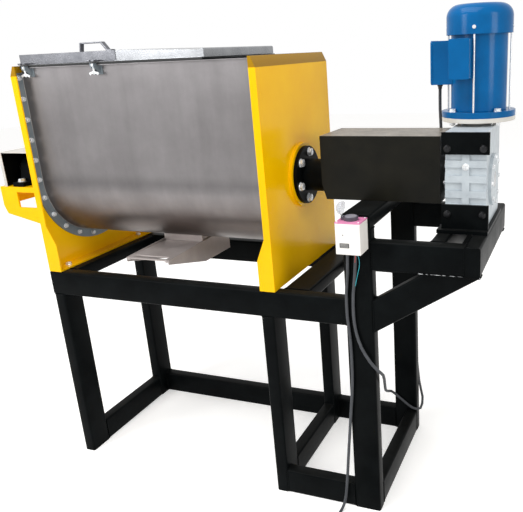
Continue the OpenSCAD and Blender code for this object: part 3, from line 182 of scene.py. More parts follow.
class Grain(Enum):
    """Way a sheet was rolled and brushed, as the scale of its fine grain along X, Y and Z."""

    ALONG_X = (0.02, 1.0, 1.0)
    NONE = (1.0, 1.0, 1.0)


@dataclass(frozen=True)
class Finish:
    """A surface of one real material, made in one way.

    This class holds what all finishes share: a soft mottling of the colour and the roughness, and a
    fine relief. The classes built on it change the colour.
    """

    name: str
    colour: str
    second: str
    roughness: float
    spread: float = 0.08
    patch_mm: float = 70.0
    relief_mm: float = 1.5
    depth_mm: float = 0.02
    metallic: float = 0.0
    coat: float = 0.0
    specular: float = 0.5
    grain: Grain = Grain.NONE
    coat_roughness: float = 0.06
    anisotropy: float = 0.0
    refraction: float = 1.5
    opacity: float = 1.0

    def material(self) -> bpy.types.Material:
        """Return this finish's material, made the first time that it is asked for.

        Returns:
            The material that bears the finish's name.
        """
        found = bpy.data.materials.get(self.name)
        if found is not None:
            return found
        made = bpy.data.materials.new(self.name)
        made.use_nodes = True
        made.diffuse_color = linear(self.colour)
        tree = made.node_tree
        shader = tree.nodes["Principled BSDF"]
        for name, value in (
            ("Metallic", self.metallic), ("Coat Weight", self.coat),
            ("Coat Roughness", self.coat_roughness), ("Specular IOR Level", self.specular),
            ("Anisotropic", self.anisotropy), ("IOR", self.refraction), ("Alpha", self.opacity),
        ):
            shader.inputs[name].default_value = value
        place = add_node(tree, "TexCoord").outputs["Object"]
        run = add_node(tree, "Mapping", {"Vector": place, "Scale": self.grain.value}).outputs[0]
        patch = noise(tree, place, self.patch_mm, detail=6.0, roughness=0.6)
        fine = noise(tree, run, self.relief_mm, detail=3.0, roughness=0.5)
        share = ramp(tree, patch, start=0.35, end=0.7)
        plain = blend(tree, share, linear(self.colour), linear(self.second))
        tree.links.new(self.tinted(tree, plain, place), shader.inputs["Base Color"])
        rough = ramp(tree, reckon(tree, "ADD", patch, fine), start=0.6, end=1.4,
                     low=self.roughness - self.spread, high=self.roughness + self.spread)
        tree.links.new(rough, shader.inputs["Roughness"])
        bump = add_node(tree, "Bump", {"Height": fine, "Distance": self.depth_mm * MM, "Strength": 1.0})
        tree.links.new(bump.outputs[0], shader.inputs["Normal"])
        return made

    def tinted(self, tree: Tree, plain: Socket, place: Socket) -> Socket:
        """Return the surface's colour, which here is the plain mottled one.

        Args:
            tree: Node tree of the material.
            plain: The mottled colour.
            place: Coordinates that stay with the piece.

        Returns:
            The colour that the surface shows.
        """
        return plain


@dataclass(frozen=True)
class WornPaint(Finish):
    """Enamel with chips and dust, as on a shop-built frame.

    Chips are where a coarse noise passes a high threshold. Dust lies on faces that look up, so it comes
    from the surface's own normal; on the guard the same layer is also a painted reflection that
    lightens its top.
    """

    chip: str = "#5b5f60"
    dust: str = "#8d8a84"
    dust_and_sheen_share: float = 0.35
    chip_at: float = 0.73
    chip_edge: float = 0.02
    chip_mm: float = 9.0
    drift_mm: float = 45.0

    def tinted(self, tree: Tree, plain: Socket, place: Socket) -> Socket:
        """Add the chips, and the dust with its painted sheen, over the plain mottling.

        Args:
            tree: Node tree of the material.
            plain: The mottled colour.
            place: Coordinates that stay with the piece.

        Returns:
            The colour that the surface shows.
        """
        spots = noise(tree, place, self.chip_mm, detail=5.0, roughness=0.75)
        chips = ramp(tree, spots, start=self.chip_at, end=self.chip_at + self.chip_edge)
        chipped = blend(tree, chips, plain, linear(self.chip))
        # Dust on faces that look up; on the guard it is also a painted reflection
        normal = add_node(tree, "NewGeometry").outputs["Normal"]
        upward = add_node(tree, "SeparateXYZ", {0: normal}).outputs["Z"]
        lie = ramp(tree, upward, start=0.6, end=1.0, high=self.dust_and_sheen_share)
        drift = noise(tree, place, self.drift_mm, detail=8.0, roughness=0.7)
        dust_and_sheen_film = reckon(tree, "MULTIPLY", lie, drift)
        return blend(tree, dust_and_sheen_film, chipped, linear(self.dust))


@dataclass(frozen=True)
class FoldedPaint(WornPaint):
    """Enamel on a folded plate whose leaning top fold is darkened to a brown yellow by painted shade.
    """

    fold_shade: str = "#7d5a08"
    fold_z: float = 1.617
    fold_shade_share: float = 0.8

    def tinted(self, tree: Tree, plain: Socket, place: Socket) -> Socket:
        """Darken the paint above the fold with painted shade, over the chips and the dust.

        Args:
            tree: Node tree of the material.
            plain: The mottled colour.
            place: Coordinates that stay with the piece.

        Returns:
            The colour that the surface shows.
        """
        painted = super().tinted(tree, plain, place)
        # Painted shade: the band above the top fold is darkened by height
        height = add_node(tree, "SeparateXYZ", {0: place}).outputs["Z"]
        above = ramp(tree, height, start=self.fold_z - MM, end=self.fold_z + MM,
                     high=self.fold_shade_share)
        return blend(tree, above, painted, linear(self.fold_shade))


@dataclass(frozen=True)
class SheetSteel(Finish):
    """Stainless sheet: long fine grain, soft streaks and a foot made darker and warmer by painted
    shade.

    The streaks are a noise stretched up and down, the uneven polish of bent sheet. A dark line of
    painted shade lies at the height where the trough's curve begins.
    """

    warm: str = "#8d7c78"
    foot_shade_share: float = 0.75
    foot_shade_top: float = 1.2
    foot_shade_low: float = 1.05
    streak_mm: float = 60.0
    streak_squeeze: float = 0.12
    bend_shade_share: float = 0.22
    bend_shade_at: float = 1.212
    bend_shade_half: float = 0.045
    anisotropy: float = 0.5

    def tinted(self, tree: Tree, plain: Socket, place: Socket) -> Socket:
        """Add soft streaks, a dark line of painted shade at the fold and painted shade, darker and
        warmer, towards the foot of the sheet.

        Args:
            tree: Node tree of the material.
            plain: The mottled colour.
            place: Coordinates that stay with the piece.

        Returns:
            The colour that the surface shows.
        """
        height = add_node(tree, "SeparateXYZ", {0: place}).outputs["Z"]
        # Painted shade: darker and warmer towards the foot of the sheet
        low = ramp(tree, height, start=self.foot_shade_top, end=self.foot_shade_low, high=self.foot_shade_share)
        foot_shaded = blend(tree, low, plain, linear(self.warm))
        squeezed = add_node(tree, "Mapping", {
            "Vector": place, "Scale": (1.0, 1.0, self.streak_squeeze),
        }).outputs[0]
        streaks = noise(tree, squeezed, self.streak_mm, detail=5.0, roughness=0.55)
        streaks = ramp(tree, streaks, start=0.3, end=0.7, low=0.9, high=1.05)
        # Painted shade: a soft dark line where the flat side turns into the curve
        off = reckon(tree, "ABSOLUTE", reckon(tree, "SUBTRACT", height, self.bend_shade_at))
        fold = ramp(tree, off, start=0.0, end=self.bend_shade_half, low=1.0 - self.bend_shade_share,
                    interpolation_type="SMOOTHSTEP")
        shade = reckon(tree, "MULTIPLY", streaks, fold)
        return blend(tree, 1.0, foot_shaded, shade, blend_type="MULTIPLY")


# Alkyd enamel, brushed and sprayed: satin black that soaks up most of the room
FRAME_ENAMEL = WornPaint(
    "frame_black_enamel", "#07090a", "#0e1112", roughness=0.36, spread=0.1, patch_mm=90.0,
    relief_mm=2.4, depth_mm=0.05, specular=0.03, dust="#4c4a46", dust_and_sheen_share=0.12, chip_at=0.77,
)
# Gloss machine enamel: a warm yellow with orange peel about 2 mm across, turned brown above the top
# fold by painted shade
YELLOW_ENAMEL = FoldedPaint(
    "end_plate_yellow_enamel", "#fcc400", "#f7ba00", roughness=0.24, spread=0.05, patch_mm=160.0,
    relief_mm=2.2, coat=0.05, specular=0.12, chip="#b98f1c", dust="#e8c850", dust_and_sheen_share=0.1,
    chip_at=0.79,
)
# Cold rolled stainless sheet of the trough, brushed along its length: soft streaks, with painted shade
# that makes it darker and warmer low down and draws a dark line where the curve begins
TROUGH_STEEL = SheetSteel(
    "trough_brushed_stainless", "#898687", "#7b7879", roughness=0.4, spread=0.07, patch_mm=190.0,
    relief_mm=0.8, depth_mm=0.01, metallic=0.85, grain=Grain.ALONG_X, warm="#56483f",
)
# Steel of the agitator and of the trough's weld beads, ground by hand: pale and uneven
RIBBON_STEEL = SheetSteel(
    "agitator_ground_stainless", "#a9a7a5", "#989694", roughness=0.36, patch_mm=80.0,
    relief_mm=0.7, metallic=1.0, warm="#a09d9a", bend_shade_share=0.0,
)
# Stainless flange rings and lid fittings, ground flat: matt and bluish
FLANGE_STEEL = SheetSteel(
    "flange_ground_stainless", "#8b949a", "#778188", roughness=0.45, patch_mm=60.0, relief_mm=0.9,
    depth_mm=0.015, metallic=0.45, warm="#7a8388", bend_shade_share=0.0,
)
# Folded sheet of the spout and the gate: dull grey with a faint rosy cast
SPOUT_STEEL = SheetSteel(
    "spout_dull_stainless", "#b3adab", "#9c9694", roughness=0.42, patch_mm=60.0, relief_mm=0.9,
    depth_mm=0.015, metallic=0.5, warm="#a79e9b", bend_shade_share=0.0,
)
# Thin polished sheet of the lid and its hardware: smoother than the trough, with sharper mirror images
LID_STEEL = SheetSteel(
    "lid_polished_stainless", "#7e7f84", "#696b70", roughness=0.3, spread=0.1, patch_mm=30.0,
    relief_mm=0.8, depth_mm=0.012, metallic=0.8, grain=Grain.ALONG_X, warm="#7e7f84",
    bend_shade_share=0.0,
)
# Newer sheet of the feed cover: nearly as bright as the room around it
COVER_STEEL = SheetSteel(
    "cover_bright_stainless", "#a2a4a7", "#94969a", roughness=0.26, spread=0.06, patch_mm=60.0,
    relief_mm=0.8, depth_mm=0.008, metallic=0.7, grain=Grain.ALONG_X, warm="#9e9d9c",
    bend_shade_share=0.0,
)
# Bright zinc plating: slightly blue, with a soft spangle
ZINC = Finish(
    "zinc_plated_fastener", "#eef0f2", "#d2d6d9", roughness=0.28, spread=0.1, patch_mm=6.0,
    relief_mm=0.6, depth_mm=0.01, metallic=0.45,
)
# Turned and polished steel bar: smooth and bright
SHAFT_STEEL = Finish(
    "turned_shaft_steel", "#b9babb", "#9d9fa1", roughness=0.25, patch_mm=40.0, relief_mm=0.6,
    depth_mm=0.01, metallic=1.0,
)
# Black oxide on the bolts of the gearbox plates: near black with a metal glint
BLACK_OXIDE = Finish(
    "black_oxide_bolt", "#1a1b1d", "#2a2b2d", roughness=0.35, spread=0.1, patch_mm=6.0,
    relief_mm=0.6, depth_mm=0.01, metallic=0.7,
)
# Sand-cast housing under pale blue-silver paint: a grain about 2 mm across
CAST_PAINT = WornPaint(
    "gearbox_cast_silver_paint", "#bdc6cc", "#abb4bb", roughness=0.4, patch_mm=45.0,
    relief_mm=1.8, depth_mm=0.12, metallic=0.1, chip="#7f8a92", dust="#a0a4a6", dust_and_sheen_share=0.25,
    chip_at=0.76,
)
# Gloss polyurethane over cast and rolled motor parts: a deep, even blue
MOTOR_ENAMEL = WornPaint(
    "motor_blue_enamel", "#005c98", "#00538a", roughness=0.2, spread=0.05, patch_mm=80.0,
    relief_mm=2.0, coat=0.05, specular=0.12, chip="#4a7c9c", dust="#5c8fb0", dust_and_sheen_share=0.12,
    chip_at=0.8,
)
# Satin paint rolled on the folded guard: olive black, grey on top from dust and a painted reflection
GUARD_ENAMEL = WornPaint(
    "guard_olive_black_enamel", "#0f0f0b", "#191812", roughness=0.34, patch_mm=120.0,
    relief_mm=3.0, depth_mm=0.06, specular=0.13, chip="#4a4740", dust="#8b847a", dust_and_sheen_share=1.6,
    chip_at=0.78,
)
# Light grey paint on thin sheet and machined rings: matt, with a few chips
GREY_PAINT = WornPaint(
    "light_grey_sheet_paint", "#cfcdc8", "#bfbdb8", roughness=0.4, relief_mm=1.8, depth_mm=0.03,
    chip="#8f8d88", dust="#a9a7a0", chip_at=0.76,
)
# Spark-textured ABS moulding: warm white with a fine grain
WHITE_ABS = Finish(
    "control_box_white_abs", "#f3f1ee", "#e9e6e1", roughness=0.34, spread=0.05, patch_mm=60.0,
    relief_mm=0.7,
)
# The same moulding dyed pink
PINK_ABS = Finish(
    "box_top_pink_abs", "#dc8ab2", "#d07ba6", roughness=0.36, spread=0.05, patch_mm=50.0,
    relief_mm=0.7,
)
# ABS of the button: a mid grey with a trace of violet
GREY_ABS = Finish(
    "button_grey_abs", "#8f8d96", "#7d7b85", roughness=0.36, spread=0.06, patch_mm=20.0,
    relief_mm=0.7,
)
# ABS of the collar about the button: a darker grey
COLLAR_ABS = Finish(
    "collar_dark_grey_abs", "#4c4a55", "#3f3d47", roughness=0.36, spread=0.06, patch_mm=20.0,
    relief_mm=0.7,
)
# Polycarbonate cover over the button: clear, with sharp highlights
CLEAR_PC = Finish(
    "button_guard_clear_polycarbonate", "#c9ccd2", "#bfc3ca", roughness=0.12, spread=0.04,
    patch_mm=20.0, relief_mm=2.0, depth_mm=0.01, refraction=1.58, opacity=0.35,
)
# Nitrile sponge strip: dull black, slightly grainy
SEAL_RUBBER = Finish(
    "seal_black_rubber", "#191a1b", "#232425", roughness=0.7, spread=0.1, patch_mm=12.0,
    relief_mm=0.8, depth_mm=0.05,
)
# Extruded rubber sheath: dull and a little dusty
CORD_RUBBER = Finish(
    "cord_grey_rubber_sheath", "#33363b", "#42454a", roughness=0.6, spread=0.1, patch_mm=30.0,
    relief_mm=1.2, depth_mm=0.04,
)
# Thin PVC on the two single cores under the control box: smooth, strong colours
CORE_RED = Finish(
    "core_red_pvc", "#c8402e", "#b83524", roughness=0.4, spread=0.05, patch_mm=10.0,
    relief_mm=0.6, depth_mm=0.01,
)
CORE_CYAN = Finish(
    "core_cyan_pvc", "#2fb4c4", "#27a5b5", roughness=0.4, spread=0.05, patch_mm=10.0,
    relief_mm=0.6, depth_mm=0.01,
)
# Moulded black polyamide: satin, faintly mottled
BLACK_NYLON = Finish(
    "black_moulded_polyamide", "#1c1d1f", "#26282a", roughness=0.45, patch_mm=15.0, relief_mm=0.8,
    depth_mm=0.03,
)
# Cast tin bronze: a warm brown gold
BRONZE = Finish(
    "worm_wheel_cast_bronze", "#b08a4e", "#97733c", roughness=0.35, spread=0.1, patch_mm=18.0,
    relief_mm=0.9, depth_mm=0.03, metallic=1.0,
)
# Varnished steel laminations: a dull warm grey
CORE_STEEL = Finish(
    "laminated_core_steel", "#6a6764", "#5a5754", roughness=0.5, spread=0.1, patch_mm=12.0,
    relief_mm=0.6, depth_mm=0.03, metallic=0.8,
)


@dataclass
class Piece:
    """Surfaces that are gathered into one mesh and ride on one body.

    Attributes:
        name: Object name of the piece.
        body: CAD body that it moves with.
        points: Vertex arrays gathered so far.
        faces: Faces gathered so far, as lists of vertex numbers.
        count: Number of vertices gathered so far.
    """

    name: str
    body: str = "frame"
    points: list[np.ndarray] = field(default_factory=list)
    faces: list[list[int]] = field(default_factory=list)
    count: int = 0

    def add_grid(self, grid: np.ndarray, loop: bool = False) -> None:
        """Add a closed tube or ring over a grid of points.

        Each row is a ring of points, joined to the next row by quads. With loop the last row meets
        the first; without it each end is closed by one face.

        Args:
            grid: Array of rows x columns x 3.
            loop: Whether rows close on themselves.
        """
        rows, cols = grid.shape[:2]
        index = np.arange(rows * cols).reshape(rows, cols) + self.count
        across = np.roll(index, -1, 1)
        below = np.roll(index, -1, 0)
        below_across = np.roll(below, -1, 1)
        last = rows if loop else rows - 1
        quads = np.stack([index, across, below_across, below], -1)[:last].reshape(-1, 4)
        self.faces += quads.tolist()
        if not loop:
            self.faces += [index[0][::-1].tolist(), index[-1].tolist()]
        self.points.append(grid.reshape(-1, 3))
        self.count += rows * cols

    def make(self, finish: Finish, slot: str, replaces: Sequence[str] = (),
             smooth_deg: float = 35.0) -> bpy.types.Object:
        """Make the mesh, dress it and tie it to its body.

        Args:
            finish: Its finish.
            slot: Name of a material slot; not used.
            replaces: CAD nodes that it stands for.
            smooth_deg: Edges flatter than this are shaded smooth.

        Returns:
            The finished object.
        """
        mesh = bpy.data.meshes.new(self.name)
        mesh.from_pydata(np.concatenate(self.points).tolist(), [], self.faces)
        mesh.validate()
        made = bpy.data.objects.new(self.name, mesh)
        bpy.context.scene.collection.objects.link(made)
        turn_outward(mesh)
        dress(made, finish, smooth_deg)
        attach(made, self.body)
        if replaces:
            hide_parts(*replaces)
        LOG.info("%s: %d faces on %s", self.name, len(mesh.polygons), self.body)
        return made


def turn_outward(mesh: bpy.types.Mesh, same_place: float = 0.001 * MM) -> None:
    """Merge doubles and turn every face of a new mesh outward.

    Args:
        mesh: Mesh of one or more closed shells.
        same_place: Distance within which vertices are merged.
    """
    work = bmesh.new()
    work.from_mesh(mesh)
    bmesh.ops.remove_doubles(work, verts=work.verts, dist=same_place)
    bmesh.ops.recalc_face_normals(work, faces=work.faces)
    work.to_mesh(mesh)
    work.free()


def dress(made: bpy.types.Object, finish: Finish, smooth_deg: float) -> None:
    """Give an object one finish and smooth its shallow edges.

    Args:
        made: Object to dress.
        finish: Its finish.
        smooth_deg: Edges flatter than this are shaded smooth.
    """
    mesh = made.data
    mesh.materials.clear()
    mesh.materials.append(finish.material())
    mesh.polygons.foreach_set("material_index", np.zeros(len(mesh.polygons), np.int32))
    mesh.polygons.foreach_set("use_smooth", np.ones(len(mesh.polygons), bool))
    mesh.set_sharp_from_angle(angle=math.radians(smooth_deg))


def round_edges(made: bpy.types.Object, width_mm: float, join_mm: float = 0.02, flat_deg: float = 0.5,
                sharp_deg: float = 32.0, facets: int = 2) -> None:
    """Round the sharp edges of a CAD shape with modifiers.

    Its loose triangles are joined and the flat ones merged first.

    Args:
        made: Object whose sharp edges are rounded.
        width_mm: Width of the rounding.
        join_mm: Distance within which corners of triangles are joined.
        flat_deg: Angle up to which two triangles count as one flat face.
        sharp_deg: Angle from which an edge is rounded.
        facets: Facets across the rounding.
    """
    joined = made.modifiers.new("joined", "WELD")
    joined.merge_threshold = join_mm * MM
    flat = made.modifiers.new("flat", "DECIMATE")
    flat.decimate_type = "DISSOLVE"
    flat.angle_limit = math.radians(flat_deg)
    edge = made.modifiers.new("edge", "BEVEL")
    edge.width = width_mm * MM
    edge.segments = facets
    edge.limit_method = "ANGLE"
    edge.angle_limit = math.radians(sharp_deg)
    normals = made.modifiers.new("normals", "WEIGHTED_NORMAL")
    normals.weight = 100
    normals.keep_sharp = True


def put(made: bpy.types.Object, *columns: Sequence[float]) -> None:
    """Put an object in the scene.

    Args:
        made: A camera or a lamp.
        *columns: Directions of its own X, Y and Z axes, and its place.
    """
    turn = np.eye(4)
    turn[:3] = np.stack(columns, 1)
    made.matrix_world = Matrix(turn.tolist())
    bpy.context.scene.collection.objects.link(made)


@dataclass(frozen=True)
class Viewpoint:
    """The camera: a standing person's eye, a little right of the front.

    Its turn is a yaw about +Z, a pitch about its own right-hand side and a roll about its line of
    sight, in that order.
    """

    place: Vec = (1.04335, -2.15747, 1.65938)
    yaw_deg: float = 20.75
    pitch_deg: float = -17.88
    roll_deg: float = -2.7
    lens_mm: float = 43.51
    sensor_mm: float = 36.0
    shift: tuple[float, float] = (-0.1734, -0.0061)
    nearest: float = 0.05

    def make(self) -> None:
        """Make the scene's camera."""
        yaw, pitch, roll = (math.radians(a) for a in (self.yaw_deg, self.pitch_deg, self.roll_deg))
        level = np.array([math.cos(yaw), math.sin(yaw), 0.0])
        ahead = np.array([-math.sin(yaw) * math.cos(pitch), math.cos(yaw) * math.cos(pitch),
                          math.sin(pitch)])
        above = np.cross(level, ahead)
        right = level * math.cos(roll) + above * math.sin(roll)
        up = above * math.cos(roll) - level * math.sin(roll)
        data = bpy.data.cameras.new("viewpoint")
        data.lens = self.lens_mm
        data.sensor_width = self.sensor_mm
        data.sensor_fit = "HORIZONTAL"
        data.shift_x, data.shift_y = self.shift
        data.clip_start = self.nearest
        made = bpy.data.objects.new("viewpoint", data)
        put(made, right, up, -ahead, self.place)
        bpy.context.scene.camera = made


@dataclass(frozen=True)
class Lamp:
    """One soft area lamp that faces a point."""

    name: str
    place: Vec
    target: Vec
    size: tuple[float, float]
    watts: float
    colour: str = "#ffffff"

    def make(self) -> None:
        """Put the lamp in the scene."""
        data = bpy.data.lights.new(self.name, "AREA")
        data.shape = "RECTANGLE"
        data.size, data.size_y = self.size
        data.energy = self.watts
        data.color = linear(self.colour)[:3]
        ahead = np.array(self.target) - self.place
        ahead /= np.linalg.norm(ahead)
        side = np.cross(ahead, [0.0, 0.0, 1.0])
        side /= np.linalg.norm(side)
        put(bpy.data.objects.new(self.name, data), side, np.cross(side, ahead), -ahead, self.place)


@dataclass
class Studio:
    """Plain pale floor, white surroundings and soft lamps."""

    reach: float = 14.0
    floor_colour: str = "#f2f1ef"
    floor_roughness: float = 0.9
    floor_specular: float = 0.1
    floor_glow: float = 0.42
    fill: float = 0.62
    mirrored: float = 0.85
    lamps: tuple[Lamp, ...] = (
        Lamp("overhead_softbox", place=(-0.6, -1.2, 4.2), target=(-0.1, 0.0, 1.0),
             size=(3.2, 2.4), watts=105.0),
        Lamp("left_softbox", place=(-2.6, -3.2, 2.6), target=(-0.4, 0.0, 1.1),
             size=(1.4, 1.8), watts=60.0),
        Lamp("right_softbox", place=(3.6, -1.6, 2.2), target=(0.3, 0.0, 1.1),
             size=(1.2, 2.0), watts=46.0, colour="#fffaf2"),
    )

    def make(self) -> None:
        """Lay the floor, light the world and place the lamps."""
        self._floor()
        self._surroundings()
        for lamp in self.lamps:
            lamp.make()
        bpy.context.scene.view_settings.view_transform = "Standard"

    def _floor(self) -> None:
        """Lay the floor, which seen directly fades to white around the object's shadow."""
        mesh = bpy.data.meshes.new("studio_floor")
        corners = [(x * self.reach, y * self.reach, 0) for x, y in ((-1, -1), (1, -1), (1, 1), (-1, 1))]
        mesh.from_pydata(corners, [], [(0, 1, 2, 3)])
        floor = bpy.data.objects.new("studio_floor", mesh)
        bpy.context.scene.collection.objects.link(floor)
        paper = bpy.data.materials.new("studio_white_paper")
        paper.use_nodes = True
        tree = paper.node_tree
        shader = tree.nodes["Principled BSDF"]
        shader.inputs["Base Color"].default_value = linear(self.floor_colour)
        shader.inputs["Roughness"].default_value = self.floor_roughness
        shader.inputs["Specular IOR Level"].default_value = self.floor_specular
        shader.inputs["Emission Color"].default_value = linear("#ffffff")
        path = add_node(tree, "LightPath").outputs
        seen = reckon(tree, "MAXIMUM", path["Is Camera Ray"], path["Is Glossy Ray"])
        seen = reckon(tree, "MAXIMUM", seen, path["Is Transmission Ray"])
        glow = reckon(tree, "MULTIPLY", seen, self.floor_glow)
        tree.links.new(glow, shader.inputs["Emission Strength"])
        mesh.materials.append(paper)

    def _surroundings(self) -> None:
        """Light the world softly, and show it as white to the eye and in metal and glass."""
        world = bpy.data.worlds.new("studio_world")
        bpy.context.scene.world = world
        world.use_nodes = True
        tree = world.node_tree
        sky = tree.nodes["Background"]
        sky.inputs["Color"].default_value = linear("#ffffff")
        path = add_node(tree, "LightPath").outputs
        seen = reckon(tree, "MAXIMUM", path["Is Camera Ray"], path["Is Transmission Ray"])
        gloss = reckon(tree, "MULTIPLY", path["Is Glossy Ray"], self.mirrored)
        seen = reckon(tree, "MAXIMUM", seen, gloss)
        strength = reckon(tree, "MAXIMUM", seen, self.fill)
        tree.links.new(strength, sky.inputs["Strength"])


@dataclass
class Cords:
    """Supply cord with its coil and plug, the motor's lead and two thin single cores.

    The routes of the supply cord and the lead repeat the CAD model's points. A smooth curve through
    a route takes one more point between each two: nine eighths of the mean of the neighbours less
    one eighth of the mean of the next two.
    """

    diameter: float = 0.011
    core_diameter: float = 0.0018
    sheath_share: float = 0.999
    sheath_sides: int = 14
    core_sides: int = 10
    coil_radius: float = 0.140
    coil_turns: int = 3
    coil_pitch: float = 0.012
    coil_rings: int = 24
    coil_tail: float = 0.030
    plug_height: float = 0.023
    tie_turns_deg: tuple[float, float] = (100.0, 250.0)
    tie_depth: float = 1.45
    tie_half: tuple[float, float] = (0.0282, 0.0122)
    tie_squareness: float = 0.6
    strap_half: tuple[float, float] = (0.0022, 0.0005)
    supply_mm: tuple[Vec, ...] = (
        (327, -310, 1020), (323, -309, 950), (315, -308, 880), (314, -308, 790), (321, -308, 700),
        (322, -308, 610), (320, -308, 530), (311, -309, 430), (295, -310, 270), (281, -310, 120),
        (272, -314, 40), (266, -336, 11), (262, -380, 6), (262, -460, 6), (262, -520, 6),
    )
    motor_mm: tuple[Vec, ...] = (
        (355, -310, 1020), (349, -309, 950), (339, -308, 870), (337, -308, 800), (343, -309, 740),
        (362, -312, 680), (394, -315, 630), (418, -306, 596), (424, -270, 560), (402, -190, 480),
        (350, -20, 350), (312, 140, 250), (300, 215, 205), (314, 243, 174), (352, 243, 144),
        (390, 238, 122), (422, 252, 118), (421, 296, 150), (403, 310, 220), (390, 308, 420),
        (390, 308, 700), (396, 308, 980), (424, 304, 1076), (468, 270, 1092), (512, 215, 1136),
        (540, 160, 1230), (547, 122, 1340), (545, 110, 1440), (545, 110, 1511),
    )
    red_mm: tuple[Vec, ...] = (
        (364, -335, 1036), (364.5, -335.5, 1026), (363, -336, 1012), (361, -337, 998),
    )
    cyan_mm: tuple[Vec, ...] = (
        (367, -333, 1036), (372, -332, 1018), (375, -331, 1000), (373, -331, 980), (367, -332, 955),
        (361, -333, 930), (358, -334, 915),
    )

    def make(self) -> None:
        supply = self.smooth(np.array(self.supply_mm) * MM)
        motor = self.smooth(np.array(self.motor_mm) * MM)
        run = np.vstack([supply, self.coil_line()[1:]])
        rubber = (CORD_RUBBER, self.diameter, self.sheath_sides)
        made = self._cable("supply_cable", run, ("supply_cord", "cord_coil"), *rubber)
        plug = self._plug(run[-1])
        ties = self._ties()
        lead = self._cable("motor_cable", motor, ("motor_cord",), *rubber)
        for name, route, finish in (
            ("red_core", self.red_mm, CORE_RED), ("cyan_core", self.cyan_mm, CORE_CYAN),
        ):
            line = self.smooth(self.smooth(np.array(route) * MM))
            made = self._cable(name, line, (), finish, self.core_diameter, self.core_sides)

    @staticmethod
    def smooth(route: np.ndarray) -> np.ndarray:
        """Return a route with one more point between each two.

        Args:
            route: Points of the route, in order.

        Returns:
            The denser route.
        """
        before = np.vstack([route[:1], route[:-2]])
        after = np.vstack([route[2:], route[-1:]])
        middle = (9 * (route[:-1] + route[1:]) - before - after) / 16
        out = np.empty((2 * len(route) - 1, 3))
        out[0::2], out[1::2] = route, middle
        return out

    def coil_line(self) -> np.ndarray:
        """Return the coil's centre line: in along the floor, up a layer, and out again.

        The radius falls by one pitch a turn to the middle of its length and rises again after it.

        Returns:
            Points of the line, the last two on the straight tail to the plug.
        """
        end = 720 * self.coil_turns + 180
        turn = np.linspace(0, end, end * self.coil_rings // 360 + 1)
        back = np.abs(turn - end / 2)
        radius = self.coil_radius - self.coil_pitch * (end / 2 - back) / 360
        lift = np.clip((turn - 360 * self.coil_turns) / 180, 0, 1) * self.coil_pitch
        angle = np.radians(turn)
        start = np.array(self.supply_mm[-1]) * MM
        ring = np.stack([self.coil_radius - radius * np.cos(angle), -radius * np.sin(angle), lift], 1)
        line = start + ring
        tail = line[-1] + np.array([[0, self.coil_tail, 0], [0, self.coil_tail + 2 * self.diameter, 0]])
        tail[:, 2] = self.plug_height
        return np.vstack([line, tail])

    def _cable(self, name: str, line: np.ndarray, nodes: tuple[str, ...], finish: Finish,
               diameter: float, sides: int) -> bpy.types.Object:
        """Sweep the round sheath of a cord along a line.

        Args:
            name: Name of the piece.
            line: Points of its centre line.
            nodes: CAD nodes that it stands for.
            finish: Its finish.
            diameter: Diameter of the sheath.
            sides: Points round it.

        Returns:
            The finished object.
        """
        piece = Piece(name)
        piece.add_grid(tube_grid(line, diameter / 2 * self.sheath_share, sides))
        return piece.make(finish, "cord_rubber", nodes, smooth_deg=60)

    @staticmethod
    def _plug(at: np.ndarray) -> bpy.types.Object:
        """Turn the plug's body from a profile, with grip ribs and three pins.

        Args:
            at: End of the cord.

        Returns:
            The finished object.
        """
        piece = Piece("mains_plug")
        profile = [
            [0.0, 0.0105], [0.004, 0.0135], [0.030, 0.0165], [0.042, 0.0205], [0.046, 0.0218],
            [0.056, 0.0218], [0.058, 0.0206], [0.062, 0.0206], [0.064, 0.0218], [0.074, 0.0218],
            [0.076, 0.0206], [0.080, 0.0206], [0.082, 0.0218], [0.090, 0.0218], [0.092, 0.0205],
        ]
        pin = [[0.0, 0.003], [0.018, 0.003], [0.0205, 0.0024], [0.021, 0.001]]
        pin_circle, pin_seat = 0.011, 0.090
        piece.add_grid(turned(profile, at, "y", sides=40))
        for turn in (0, 120, 240):
            angle = math.radians(turn)
            foot = at + [pin_circle * math.cos(angle), pin_seat, pin_circle * math.sin(angle)]
            piece.add_grid(turned(pin, foot, "y", sides=16))
        return piece.make(BLACK_NYLON, "black_plastic", ("supply_plug",), smooth_deg=40)

    def _ties(self) -> bpy.types.Object:
        """Wrap two nylon ties round the coil's bundle, over a path between a square and an ellipse.

        Returns:
            The finished object.
        """
        piece = Piece("cable_ties")
        centre = np.array(self.supply_mm[-1]) * MM + [self.coil_radius, 0.0, self.coil_pitch / 2]
        radius = self.coil_radius - self.tie_depth * self.coil_pitch
        strap = np.array([[-1, -1], [1, -1], [1, 1], [-1, 1]]) * self.strap_half
        wave = ring_of(40, (1.0, 0.0), (0.0, 1.0))
        band = np.sign(wave) * np.abs(wave) ** self.tie_squareness * self.tie_half
        for turn in self.tie_turns_deg:
            angle = math.radians(turn)
            out = np.array([-math.cos(angle), -math.sin(angle), 0.0])
            along = np.array([math.sin(angle), -math.cos(angle), 0.0])
            path = centre + out * radius + band[:, :1] * out + band[:, 1:] * np.array([0.0, 0.0, 1.0])
            path[:, 2] = np.maximum(path[:, 2], 0.6 * MM)
            away = path - (centre + out * radius)
            away /= np.linalg.norm(away, axis=1)[:, None]
            across, through = strap[None, :, :1] * along, strap[None, :, 1:] * away[:, None]
            piece.add_grid(path[:, None] + across + through, loop=True)
        return piece.make(BLACK_NYLON, "black_plastic", smooth_deg=40)


def length_of(line: np.ndarray) -> float:
    """Return the length of a line.

    Args:
        line: Points of the line, in order.

    Returns:
        The sum of its steps.
    """
    return float(np.linalg.norm(np.diff(line, axis=0), axis=1).sum())


